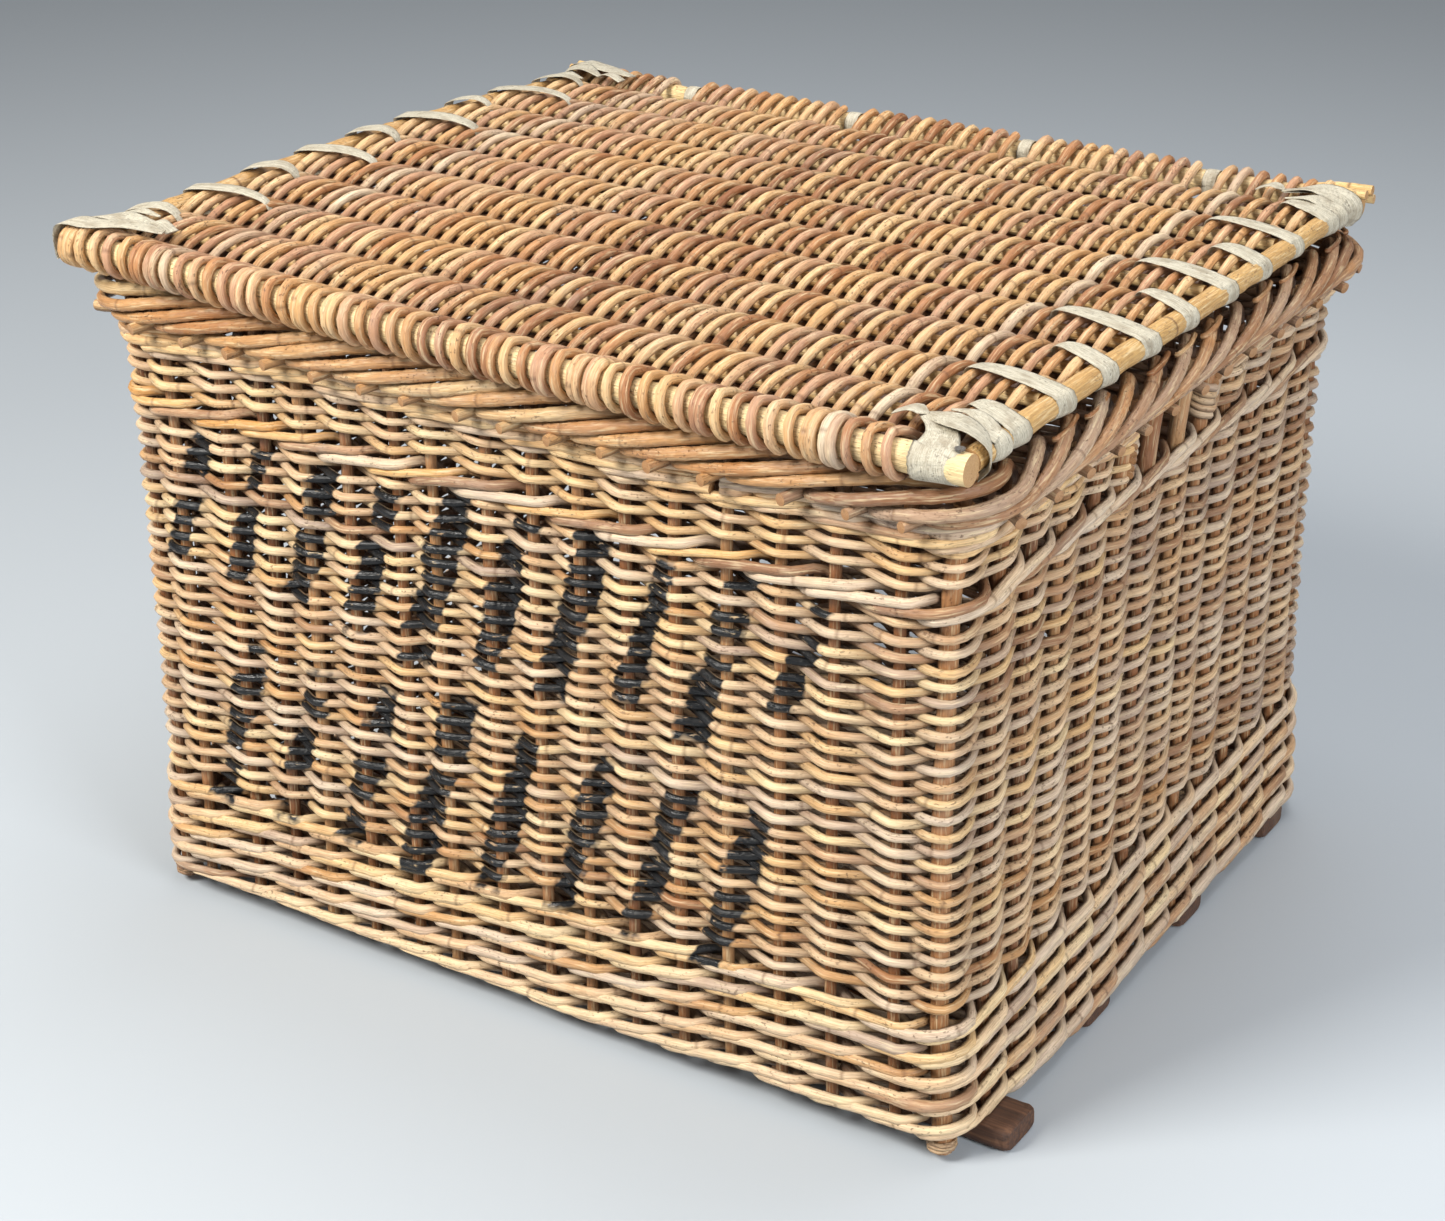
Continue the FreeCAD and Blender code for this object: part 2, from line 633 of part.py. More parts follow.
# ---------------------------------------------------------------- lid corner straps and nail
NAIL_X = "(LidShiftX + LidLength / 2 - StickInset)"
nail_bore = rod(
    "NailBore", "Z", "NailDiameter / 2 + BoreClearance / 3", "NailLength + 4",
    NAIL_X, "FrontRodY", "LidLevel + FrontRodDiameter / 2 + %s - NailLength" % STRAP_GROW,
)
NODES.append(cut("lid_front_rod", front_rod, nail_bore))
for where, rod_diameter, y in (("front", "FrontRodDiameter", "FrontRodY"), ("back", "BackRodDiameter", "HingeY")):
    straps = []
    for side, sign in (("left", "-"), ("right", "+")):
        start = "LidShiftX %s %s - StrapWidth / 2" % (sign, END_X)
        tag = where.capitalize() + side.capitalize()
        outside = rod("StrapOutside" + tag, "X", rod_diameter + " / 2 + " + STRAP_GROW, "StrapWidth", start, y, "LidLevel")
        inside = rod("StrapInside" + tag, "X", rod_diameter + " / 2 + BoreClearance", "StrapWidth", start, y, "LidLevel")
        straps.append(cut("Strap" + tag, outside, inside))
    strap_group = group("StrapPair" + where.capitalize(), straps)
    if where == "front":
        NODES.append(cut("lid_straps_front", strap_group, nail_bore))
    else:
        strap_group.Label = "lid_straps_back"
        NODES.append(strap_group)
shank = rod(
    "NailShank", "Z", "NailDiameter / 2", "NailLength + 1",
    NAIL_X, "FrontRodY", "LidLevel + FrontRodDiameter / 2 + %s - NailLength" % STRAP_GROW,
)
head = rod(
    "NailHead", "Z", "NailHeadDiameter / 2", "1.6",
    NAIL_X, "FrontRodY", "LidLevel + FrontRodDiameter / 2 + %s" % STRAP_GROW,
)
NODES.append(fuse("lid_corner_nail", [shank, head]))

# ---------------------------------------------------------------- check and write
doc.recompute()
for obj in doc.Objects:
    if "Invalid" in obj.State or "Error" in obj.State:
        raise RuntimeError("%s did not compute: %s" % (obj.Name, obj.State))
for node in NODES:
    shape = node.Shape
    if shape.isNull() or not shape.isValid() or not shape.Solids:
        raise RuntimeError("%s has no valid solid" % node.Label)
    shape.exportStep("parts/%s.step" % node.Label)
    print("%-28s solids %2d volume %12.0f" % (node.Label, len(shape.Solids), shape.Volume))
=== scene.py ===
import math

import bpy
import numpy as np
from mathutils import Matrix, Vector


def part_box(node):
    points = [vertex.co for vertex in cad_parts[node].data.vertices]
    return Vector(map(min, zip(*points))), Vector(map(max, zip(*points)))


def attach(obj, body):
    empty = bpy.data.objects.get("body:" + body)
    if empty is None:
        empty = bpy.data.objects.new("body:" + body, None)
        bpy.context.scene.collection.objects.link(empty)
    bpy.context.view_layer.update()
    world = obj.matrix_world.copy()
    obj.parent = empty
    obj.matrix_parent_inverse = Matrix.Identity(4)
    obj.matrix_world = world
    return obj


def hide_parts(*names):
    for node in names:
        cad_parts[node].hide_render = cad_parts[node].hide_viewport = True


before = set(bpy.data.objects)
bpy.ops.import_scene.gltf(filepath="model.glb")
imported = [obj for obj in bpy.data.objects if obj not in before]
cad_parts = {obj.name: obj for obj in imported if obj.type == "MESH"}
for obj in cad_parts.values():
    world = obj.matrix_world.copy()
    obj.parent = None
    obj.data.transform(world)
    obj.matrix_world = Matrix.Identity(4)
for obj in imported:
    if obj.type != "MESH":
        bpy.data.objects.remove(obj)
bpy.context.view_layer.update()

rng = np.random.default_rng(7)

# Everything is in metres. "Radial" means outward from the middle line of the wall.
MM = 0.001
FULL_TURN = 2 * math.pi
UP = (0, 0, 1)

# ---- sizes read from the frame


def span(node, axis):
    low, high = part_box(node)
    return low[axis], high[axis]


def middle(node, axis):
    return sum(span(node, axis)) / 2


def half(node, axis):
    low, high = span(node, axis)
    return (high - low) / 2


WALL = 2 * half("siding_front", 1)
MID_X = middle("siding_corners", 0)
MID_Y = middle("siding_corners", 1)
HALF_X = half("siding_corners", 0) - WALL / 2
HALF_Y = half("siding_corners", 1) - WALL / 2
STRAIGHT_X = half("siding_front", 0)
STRAIGHT_Y = half("siding_left", 1)
TURN = HALF_X - STRAIGHT_X
Z_RUNNER = span("base_runner_1", 2)[1]
Z_WALE = span("bottom_wale", 2)
Z_SIDING = span("siding_front", 2)
Z_ACCENT = span("accent_wale", 2)
Z_UPPER = span("upper_siding_front", 2)
Z_RIM = span("rim_wale_front", 2)
Z_BORDER = span("border", 2)
FRONT_COUNT = 16
END_COUNT = 12
TOTAL = 2 * (FRONT_COUNT + END_COUNT) + 4
STAKE_RADIUS = 5.3 * MM
POST_RADIUS = 8.5 * MM

# how far the old trunk has warped
LID_LIFT = 21 * MM
BASKET_LIFT = 14.5 * MM
DRAWN_IN = 0.021
FRONT_SAG = 6 * MM
RIGHT_SAG = 16 * MM

# ---- mesh building


def unit(vectors):
    return vectors / np.maximum(np.linalg.norm(vectors, axis=1), 1e-9)[:, None]


def line(x, y, z):
    """Points from coordinates, some of which may be single numbers."""
    return np.column_stack(np.broadcast_arrays(x, y, z))


def add_object(name, data):
    obj = bpy.data.objects.new(name, data)
    bpy.context.scene.collection.objects.link(obj)
    return obj


class Canes:
    """Many round or flat canes gathered into one mesh, with attributes for the shader."""

    def __init__(self, name):
        self.name = name
        self.points = []
        self.loops = []
        self.sizes = []
        self.cane = []
        self.tone = []
        self.dirt = []
        self.cut = []
        self.total = 0

    def add(self, path, radius, ref, tone, sides=8, dirt=0.0, knobs=0.06, thick=None):
        """One cane along path, or a flat strip if thick is given; ref points across it."""
        path = np.asarray(path, float)
        count = len(path)
        tangent = unit(np.gradient(path, axis=0))
        ref = np.broadcast_to(np.asarray(ref, float), (count, 3))
        first = unit(ref - (ref * tangent).sum(1)[:, None] * tangent)
        second = np.cross(tangent, first)
        plain = np.broadcast_to(np.asarray(radius, float), (count,))
        radius = plain * (1 + knobs * rng.uniform(-1, 1, count))
        angle = np.arange(sides) * (FULL_TURN / sides)
        across = radius[:, None] * np.cos(angle)
        aside = radius[:, None] * np.sin(angle)
        depth = aside
        if thick is not None:
            depth = np.clip(aside / plain[:, None], -1, 1) * thick / 2
        ring = path[:, None] + across[:, :, None] * first[:, None] + depth[:, :, None] * second[:, None]
        run = np.concatenate([[0.0], np.cumsum(np.linalg.norm(np.diff(path, axis=0), axis=1))])
        along = np.repeat((run + rng.uniform(0, 50))[:, None], sides, axis=1)
        cane = np.stack([along, across, aside], axis=2)
        index = np.arange(count * sides).reshape(count, sides) + self.total
        here = index[:-1]
        ahead = index[1:]
        quads = np.stack([here, ahead, np.roll(ahead, -1, 1), np.roll(here, -1, 1)], axis=2)
        caps = np.arange(2 * sides).reshape(2, sides) + self.total + count * sides
        self.points += [ring.reshape(-1, 3), ring[0], ring[-1]]
        self.cane += [cane.reshape(-1, 3), cane[0], cane[-1]]
        self.loops += [quads.reshape(-1), caps[0], caps[1][::-1]]
        self.sizes.append(np.repeat([4, sides], [(count - 1) * sides, 2]))
        number = (count + 2) * sides
        # this per-point value darkens the colour as painted shade where a cane lies behind or under other
        # parts
        dirt = np.broadcast_to(np.asarray(dirt, float), (count,))
        self.tone.append(np.full(number, tone))
        # both end caps get the painted shade of the first end
        self.dirt.append(np.repeat(np.concatenate([dirt, dirt[[0, 0]]]), sides))
        self.cut.append(np.repeat([0.0, 1.0], [count * sides, 2 * sides]))
        self.total += number

    def build(self, material, body, slot, replaces):
        """The one visible piece made of all the canes added so far."""
        points = settle(np.concatenate(self.points), body)
        loops = np.concatenate(self.loops)
        sizes = np.concatenate(self.sizes)
        mesh = bpy.data.meshes.new(self.name)
        mesh.vertices.add(len(points))
        mesh.loops.add(len(loops))
        mesh.polygons.add(len(sizes))
        mesh.vertices.foreach_set("co", points.astype(np.float32).ravel())
        mesh.loops.foreach_set("vertex_index", loops.astype(np.int32))
        mesh.polygons.foreach_set("loop_start", (np.cumsum(sizes) - sizes).astype(np.int32))
        mesh.polygons.foreach_set("use_smooth", np.ones(len(sizes), bool))
        mesh.update(calc_edges=True)
        for name, kind, field, data in (
            ("cane", "FLOAT_VECTOR", "vector", self.cane),
            ("tone", "FLOAT", "value", self.tone),
            ("dirt", "FLOAT", "value", self.dirt),
            ("cut", "FLOAT", "value", self.cut),
        ):
            layer = mesh.attributes.new(name, kind, "POINT")
            layer.data.foreach_set(field, np.concatenate(data).astype(np.float32).ravel())
        mesh.materials.append(material)
        obj = add_object(self.name, mesh)
        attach(obj, body)
        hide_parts(*replaces)


def smooth(points, count):
    """Catmull-Rom curve through control points, sampled evenly in parameter."""
    points = np.asarray(points, float)
    padded = np.vstack([2 * points[0] - points[1], points, 2 * points[-1] - points[-2]])
    where = np.linspace(0, len(points) - 1 - 1e-9, count)
    base = where.astype(int)
    t = (where - base)[:, None]
    p0, p1, p2, p3 = (padded[base + k] for k in range(4))
    return 0.5 * (
        2 * p1 + (p2 - p0) * t + (2 * p0 - 5 * p1 + 4 * p2 - p3) * t**2
        + (3 * p1 - p0 - 3 * p2 + p3) * t**3
    )


def slope(value, zero, one):
    """0 up to zero, 1 from one on, straight between."""
    return np.clip((value - zero) / (one - zero), 0, 1)


def settle(points, body):
    """The old trunk has warped: its left side stands up, its walls have drawn in, its foot sags."""
    x, y, z = points.T
    lift = slope(x, 0.25, -0.44) ** 1.5 * (1 - slope(y, -0.05, 0.38) ** 2)
    if body == "lid":
        return np.column_stack([x, y, z + LID_LIFT * lift])
    waist = np.interp(z, [0.02, 0.12, 0.3, 0.5, 0.585], [0, 0.7, 1, 1, 0])
    near_front = slope(y, -0.30, -0.34)
    left_sag = slope(x, 0.25, -0.25) * near_front
    x = x * (1 - DRAWN_IN * waist)
    wale = np.interp(z, [0.02, 0.1, 0.2], [0, 1, 0])
    z = z + BASKET_LIFT * lift * (z / 0.6) ** 2 - 0.009 * left_sag * wale
    z = z - 0.008 * left_sag * np.interp(z, [0.02, 0.034, 0.1], [0, 1, 0])
    foot = np.interp(z, [0.018, 0.026, 0.13], [0, 1, 0])
    front = near_front * slope(x, -0.25, 0.05)
    right = slope(x, 0.37, 0.41) * slope(y, -0.38, -0.23)
    z = z - foot * np.maximum(FRONT_SAG * front, RIGHT_SAG * right)
    return np.column_stack([x, y, z])


# ---- the wall's middle line

ARC = TURN * math.pi / 2
LEGS = 2 * [("line", 2 * STRAIGHT_X), ("arc", ARC), ("line", 2 * STRAIGHT_Y), ("arc", ARC)]
ROUND = sum(length for _, length in LEGS)


def wall(s):
    """Places and outward directions on the wall's middle line, s metres from its start."""
    s = np.mod(np.asarray(s, float), ROUND)
    place = np.zeros(s.shape + (2,))
    out = np.zeros(s.shape + (2,))
    begin = 0.0
    corner = [(1, -1), (1, 1), (-1, 1), (-1, -1)]
    for number, (kind, length) in enumerate(LEGS):
        here = (s >= begin) & (s <= begin + length + 1e-9)
        t = s[here] - begin
        side = number // 2
        turn = math.pi / 2 * side
        ahead = np.array([math.cos(turn), math.sin(turn)])
        away = np.array([math.sin(turn), -math.cos(turn)])
        if kind == "line":
            reach = (STRAIGHT_X, STRAIGHT_Y)[side % 2]
            off = (HALF_Y, HALF_X)[side % 2]
            place[here] = (t - reach)[:, None] * ahead + off * away
            out[here] = away
        else:
            cx, cy = corner[side]
            angle = turn - math.pi / 2 + t / TURN
            direction = np.stack([np.cos(angle), np.sin(angle)], 1)
            place[here] = np.array([cx * STRAIGHT_X, cy * STRAIGHT_Y]) + TURN * direction
            out[here] = direction
        begin += length
    return place + np.array([MID_X, MID_Y]), out


def stake_places():
    """Distance round the wall of every stake and corner post, with its radius."""
    places = []
    sizes = []
    begin = 0.0
    for number, (kind, length) in enumerate(LEGS):
        if kind == "line":
            count = (FRONT_COUNT, END_COUNT)[(number // 2) % 2]
            for index in range(count):
                wander = rng.uniform(-1, 1) * 5 * MM
                if number in (0, 4):
                    wander += 10 * MM * ((index == count - 1) - (index == 0))
                places.append(begin + (index + 0.5) / count * length + wander)
                sizes.append(STAKE_RADIUS)
        else:
            places.append(begin + length / 2)
            sizes.append(POST_RADIUS)
        begin += length
    return np.array(places), np.array(sizes)


STAKE_S, STAKE_R = stake_places()
U_AXIS = np.arange(-TOTAL, 2 * TOTAL)
S_AXIS = np.concatenate([STAKE_S - ROUND, STAKE_S, STAKE_S + ROUND])
R_AXIS = np.tile(STAKE_R, 3)


def s_of(u):
    return np.interp(u, U_AXIS, S_AXIS)


def stake_radius(u):
    return np.interp(u, U_AXIS, R_AXIS)


def on_wall(s, radial, z):
    """Points from distance round the wall, radial offset and height; and outward directions."""
    place, out = wall(s)
    flat = place + out * np.asarray(radial)[:, None]
    return line(flat[:, 0], flat[:, 1], z), line(out[:, 0], out[:, 1], 0.0)


def wobble(u, size, waves=3):
    """Slow random drift along a row that joins up after one whole turn."""
    total = np.zeros_like(u)
    for wave in range(1, waves + 1):
        total += np.sin(FULL_TURN * wave * 2 * u / TOTAL + rng.uniform(0, 6.28)) / wave
    return total * size


def flow(u, z):
    """Rows of weave rise and fall together, a little."""
    u = u * 2 * math.pi / TOTAL
    return MM * (2.0 * np.sin(5 * u + 9 * z) + 1.4 * np.sin(11 * u - 16 * z + 1.0)
                 + 0.9 * np.sin(23 * u + 30 * z + 2.0))


WALLS = ("front", "right", "back", "left")
WALL_ENDS = np.cumsum([FRONT_COUNT + 1, END_COUNT + 1, FRONT_COUNT + 1, END_COUNT + 1]) - 0.5


def wall_name(u):
    return WALLS[int(np.searchsorted(WALL_ENDS, u % TOTAL, side="right")) % 4]


HOLE_STAKES = np.array([4, 7])  # the stakes beside a hand hole, counted along its end
HOLE_RIGHT = (FRONT_COUNT + 1 + HOLE_STAKES).tolist()
HOLE_LEFT = (2 * FRONT_COUNT + END_COUNT + 3 + HOLE_STAKES).tolist()
BETWEEN_HOLES = [(HOLE_RIGHT[1], HOLE_LEFT[0]), (HOLE_LEFT[1], HOLE_RIGHT[0] + TOTAL)]

# ---- woven rows

POINTS = 8  # along each weaver, from stake to stake
PEAK = 0.94  # sharpness of a weaver's zigzag; 1 would be a true zigzag
DIVE = 0.8  # distance from its stake at which a wale rod starts to pass behind, in stakes
ROD_GAP = 0.12  # left free at each end of a weaver, in stakes


def tone_pick(low=0.0, high=1.0):
    return float(np.clip(rng.beta(1.6, 1.6) * (high - low) + low, 0, 1))


def cut_up(low, high, step, longest, least):
    """Where one row changes from rod to rod; each rod is a whole number of steps long."""
    cuts = [low]
    while cuts[-1] < high:
        cuts.append(cuts[-1] + step * int(rng.integers(6, longest)))
    cuts[-1] = high
    if len(cuts) > 2 and cuts[-1] - cuts[-2] < least:
        cuts.pop(-2)
    return cuts


def rand_rod(canes, u0, u1, z, sign, thick, tone):
    """One weaver of plain weave: in front of one stake and behind the next."""
    count = max(4, int((u1 - u0) * POINTS) + 1)
    u = np.linspace(u0, u1, count)
    swing = sign * np.arcsin(PEAK * np.cos(math.pi * u)) / math.asin(PEAK)
    facing = wall(s_of(u))[1]
    # weavers lie tighter on the ends
    tight = 0.93 - 0.13 * np.abs(facing[:, 0])
    radial = swing * (stake_radius(u) + thick) * tight
    taper = np.linspace(1.06, 0.9, count) * thick
    wander = np.interp(u, np.arange(int(u0) - 1, int(u1) + 3),
                       rng.uniform(-1.5, 1.5, int(u1) - int(u0) + 4) * MM)
    tilt = np.interp(facing[:, 1], [-0.2, 0.6], [-0.5, -3.5]) * MM
    height = z + flow(u, z) + wander + tilt * swing
    path, out = on_wall(s_of(u), radial, height)
    # painted shade: the colour darkens where the weaver passes behind a stake
    canes.add(path, taper, out, tone, dirt=np.clip(0.5 - 0.5 * swing, 0, 1))


def plain_rows(pieces, z_low, z_high, rows, thick, hole=False):
    """Rows of plain weave round the basket, each made of several rods."""
    step = (z_high - z_low) / rows
    for row in range(rows):
        z = z_low + (row + 0.5) * step
        inside = row % 2
        if hole:
            stretches = BETWEEN_HOLES
        else:
            begin = 2 * int(rng.integers(0, TOTAL // 2)) + inside
            stretches = [(begin, begin + TOTAL)]
        for low, high in stretches:
            cuts = cut_up(low, high, 2, 11, 5)
            if hole:
                cuts[1:-1] = [cut + (cut + inside) % 2 for cut in cuts[1:-1]]
            for first, last in zip(cuts[:-1], cuts[1:]):
                gap0 = 0.0 if hole and first == low else ROD_GAP
                gap1 = 0.0 if hole and last == high else ROD_GAP
                name = wall_name((first + last) / 2)
                size = thick * rng.uniform(0.92, 1.1) * (1.08 if name in ("back", "left") else 1)
                rand_rod(pieces[name], first + gap0, last - gap1, z, 2 * inside - 1, size, tone_pick())
        if hole and row + 1 < rows:
            for stake, way in zip(HOLE_RIGHT + HOLE_LEFT, (1, -1, 1, -1)):
                turn_back(pieces[wall_name(stake)], stake, way, z, step, thick)


def turn_back(canes, stake, way, z, rise, thick):
    """Half loop of a weaver round the stake at the side of a hand hole."""
    angle = np.linspace(0, math.pi, 9)
    reach = STAKE_R[stake % TOTAL] + thick
    s = s_of(np.array([float(stake)]))[0] + way * np.sin(angle) * reach
    radial = np.cos(angle) * reach
    path, out = on_wall(s, radial, z + rise * angle / math.pi)
    canes.add(path, thick, UP, tone_pick(), dirt=0.2)


def wale_row(pieces, z, rise, thick, stretches=None):
    """Three rods twisting together, each before two stakes and behind one."""
    for strand in range(3):
        spans = stretches
        if stretches is None:
            begin = 3 * int(rng.integers(0, TOTAL // 3)) + strand
            spans = [(begin, begin + TOTAL)]
        for low, high in spans:
            cuts = cut_up(low, high, 3, 10, 6)
            for first, last in zip(cuts[:-1], cuts[1:]):
                count = int((last - first) * 7) + 1
                u = np.linspace(first + 0.1, last - 0.1, count)
                v = np.mod(u - strand, 3.0)
                near = np.minimum(v, 3.0 - v)
                behind = np.cos(math.pi / 2 * np.clip(near / DIVE, 0, 1)) ** 2
                reach = stake_radius(u) + thick
                radial = reach * (1 - 2 * behind) + 1.6 * MM * (v - 1.5) / 1.5 * (1 - behind)
                climb = (v - 1.5) / (3 - DIVE)
                start = DIVE / 2 - v
                end = v - 3 + DIVE / 2
                climb = np.where(start >= 0, -0.5 * np.cos(math.pi * start / DIVE), climb)
                climb = np.where(end >= 0, 0.5 * np.cos(math.pi * end / DIVE), climb)
                height = z + rise * climb + flow(u, z) * 0.8 + wobble(u, 0.8 * MM)
                path, out = on_wall(s_of(u), radial, height)
                taper = np.linspace(1.08, 0.86, count) * thick * rng.uniform(0.9, 1.08)
                name = wall_name((first + last) / 2)
                # painted shade: the colour darkens where the rod passes behind a stake
                pieces[name].add(path, taper, out, tone_pick(), dirt=behind)


# ---- materials


def linear(color):
    """Scene-linear colour from 0-255 display values."""
    parts = [c / 255 for c in color]
    return tuple(c / 12.92 if c <= 0.04045 else ((c + 0.055) / 1.055) ** 2.4 for c in parts) + (1.0,)


class Shader:
    """Small helper that wires shader nodes."""

    def __init__(self, name):
        self.material = bpy.data.materials.new(name)
        self.material.use_nodes = True
        self.tree = self.material.node_tree
        self.tree.nodes.clear()
        out = self.node("ShaderNodeOutputMaterial")
        self.bsdf = self.node("ShaderNodeBsdfPrincipled")
        self.link(self.bsdf.outputs[0], out.inputs[0])

    def node(self, kind, **settings):
        node = self.tree.nodes.new(kind)
        for key, value in settings.items():
            setattr(node, key, value)
        return node

    def link(self, source, target):
        self.tree.links.new(source, target)

    def feed(self, socket, value):
        if isinstance(value, bpy.types.NodeSocket):
            self.link(value, socket)
        else:
            socket.default_value = value

    def attribute(self, name, vector=False):
        node = self.node("ShaderNodeAttribute", attribute_name=name)
        return node.outputs["Vector"] if vector else node.outputs["Fac"]

    def place(self):
        return self.node("ShaderNodeTexCoord").outputs["Object"]

    def axes(self, vector):
        node = self.node("ShaderNodeSeparateXYZ")
        self.link(vector, node.inputs[0])
        return node.outputs

    def math(self, operation, a, b=0.0, clamp=False):
        node = self.node("ShaderNodeMath", operation=operation, use_clamp=clamp)
        self.feed(node.inputs[0], a)
        self.feed(node.inputs[1], b)
        return node.outputs[0]

    def times(self, a, b):
        return self.math("MULTIPLY", a, b)

    def minus(self, a, b):
        return self.math("SUBTRACT", a, b)

    def scale(self, vector, factors):
        node = self.node("ShaderNodeVectorMath", operation="MULTIPLY")
        self.feed(node.inputs[0], vector)
        node.inputs[1].default_value = factors
        return node.outputs[0]

    def noise(self, vector, scale, detail=3.0, rough=0.55):
        node = self.node("ShaderNodeTexNoise")
        for name, value in (("Vector", vector), ("Scale", scale), ("Detail", detail), ("Roughness", rough)):
            self.feed(node.inputs[name], value)
        return node.outputs["Fac"]

    def streaks(self, vector, factors, detail, rough=0.55):
        """Noise that is stretched along some axes."""
        return self.noise(self.scale(vector, factors), 1.0, detail, rough)

    def ramp(self, value, stops):
        """Colour ramp; each stop is its position and its red, green and blue."""
        node = self.node("ShaderNodeValToRGB")
        self.feed(node.inputs[0], value)
        ramp = node.color_ramp
        while len(ramp.elements) < len(stops):
            ramp.elements.new(0.5)
        for element, (where, *color) in zip(ramp.elements, stops):
            element.position = where
            element.color = linear(color)
        return node.outputs[0]

    def map(self, value, low, high, to_low=0.0, to_high=1.0):
        node = self.node("ShaderNodeMapRange", clamp=True)
        for socket, number in zip(node.inputs, (value, low, high, to_low, to_high)):
            self.feed(socket, number)
        return node.outputs[0]

    def tint(self, color, factor, rgb):
        """The colour moved towards rgb."""
        node = self.node("ShaderNodeMix", data_type="RGBA")
        for index, value in ((0, factor), (6, color), (7, linear(rgb))):
            self.feed(node.inputs[index], value)
        return node.outputs[2]

    def bump(self, height, strength, distance, normal=None):
        node = self.node("ShaderNodeBump")
        node.inputs["Strength"].default_value = strength
        node.inputs["Distance"].default_value = distance
        self.feed(node.inputs["Height"], height)
        if normal is not None:
            self.link(normal, node.inputs["Normal"])
        return node.outputs[0]

    def surface(self, color, rough, relief):
        for name, value in (("Base Color", color), ("Roughness", rough), ("Normal", relief)):
            self.link(value, self.bsdf.inputs[name])
        return self.material


def cane_material(
    name, palette, rough=(0.42, 0.62), speck=0.55, grey=0.35, rings=0.5, paint=False, shade=1.0
):
    """Peeled or bark-on cane: streaks, specks, growth rings, grey weather and painted shade."""
    sh = Shader(name)
    cane = sh.attribute("cane", vector=True)
    tone = sh.attribute("tone")
    place = sh.place()
    # tone of each rod drifts a little along its length
    drift = sh.streaks(cane, (9, 0, 0), 2.0)
    drift = sh.times(sh.minus(drift, 0.5), 0.55)
    color = sh.ramp(sh.math("ADD", tone, drift, clamp=True), palette)
    # fine fibres along the rod
    fibre = sh.streaks(cane, (45, 900, 900), 3.0, 0.6)
    color = sh.tint(color, sh.map(fibre, 0.38, 0.72, 0.0, 0.55), (112, 76, 46))
    light = sh.noise(sh.scale(cane, (30, 420, 420)), 1.3, 2.0)
    color = sh.tint(color, sh.map(light, 0.52, 0.72, 0.0, 0.5), (240, 220, 176))
    # grey weathering in soft patches
    weather = sh.noise(place, 7.0, 4.0, 0.6)
    close = sh.streaks(cane, (60, 160, 160), 2.0)
    patch = sh.times(sh.map(weather, 0.45, 0.68), sh.map(close, 0.3, 0.7))
    color = sh.tint(color, sh.times(patch, grey), (172, 158, 144))
    # growth rings and dark specks
    along, outward, _ = sh.axes(cane)
    cycle = sh.math("FRACT", sh.times(along, 5.3))
    ring = sh.map(sh.math("ABSOLUTE", sh.minus(cycle, 0.5)), 0.0, 0.014, 1.0, 0.0)
    color = sh.tint(color, sh.times(ring, rings), (92, 60, 36))
    dots = sh.streaks(cane, (300, 520, 520), 1.0)
    many = sh.streaks(cane, (16, 30, 30), 1.0)
    dots = sh.times(sh.map(dots, 0.62, 0.70), sh.map(many, 0.4, 0.6))
    color = sh.tint(color, sh.times(dots, speck), (74, 48, 30))
    # the inward side of wall canes is browner: partly the unbleached inside, partly painted shade of the
    # basket's dark inside
    inner = sh.map(outward, -0.0025, 0.0008, 0.7, 0.0)
    color = sh.tint(color, sh.times(inner, shade), (70, 44, 28))
    # painted shade where a rod runs behind its neighbours, and darker cut ends
    recess_shade = sh.times(sh.attribute("dirt"), 0.8)
    color = sh.tint(color, recess_shade, (84, 52, 30))
    color = sh.tint(color, sh.times(sh.attribute("cut"), 0.75), (168, 122, 78))
    marks = painted_marks(sh, place, cane) if paint else 0.0
    color = sh.tint(color, marks, (18, 19, 21))
    gloss = sh.map(sh.streaks(cane, (25, 200, 200), 2.0), 0.3, 0.7, rough[0], rough[1])
    gloss = sh.minus(gloss, sh.times(marks, 0.22))
    sh.bsdf.inputs["Specular IOR Level"].default_value = 0.42
    relief = sh.bump(sh.math("ADD", fibre, sh.times(dots, -0.8)), 0.8, 0.0008)
    lumps = sh.streaks(cane, (110, 260, 260), 2.0)
    relief = sh.bump(lumps, 0.6, 0.0016, relief)
    relief = sh.bump(ring, 0.5, 0.0008, relief)
    return sh.surface(color, gloss, relief)


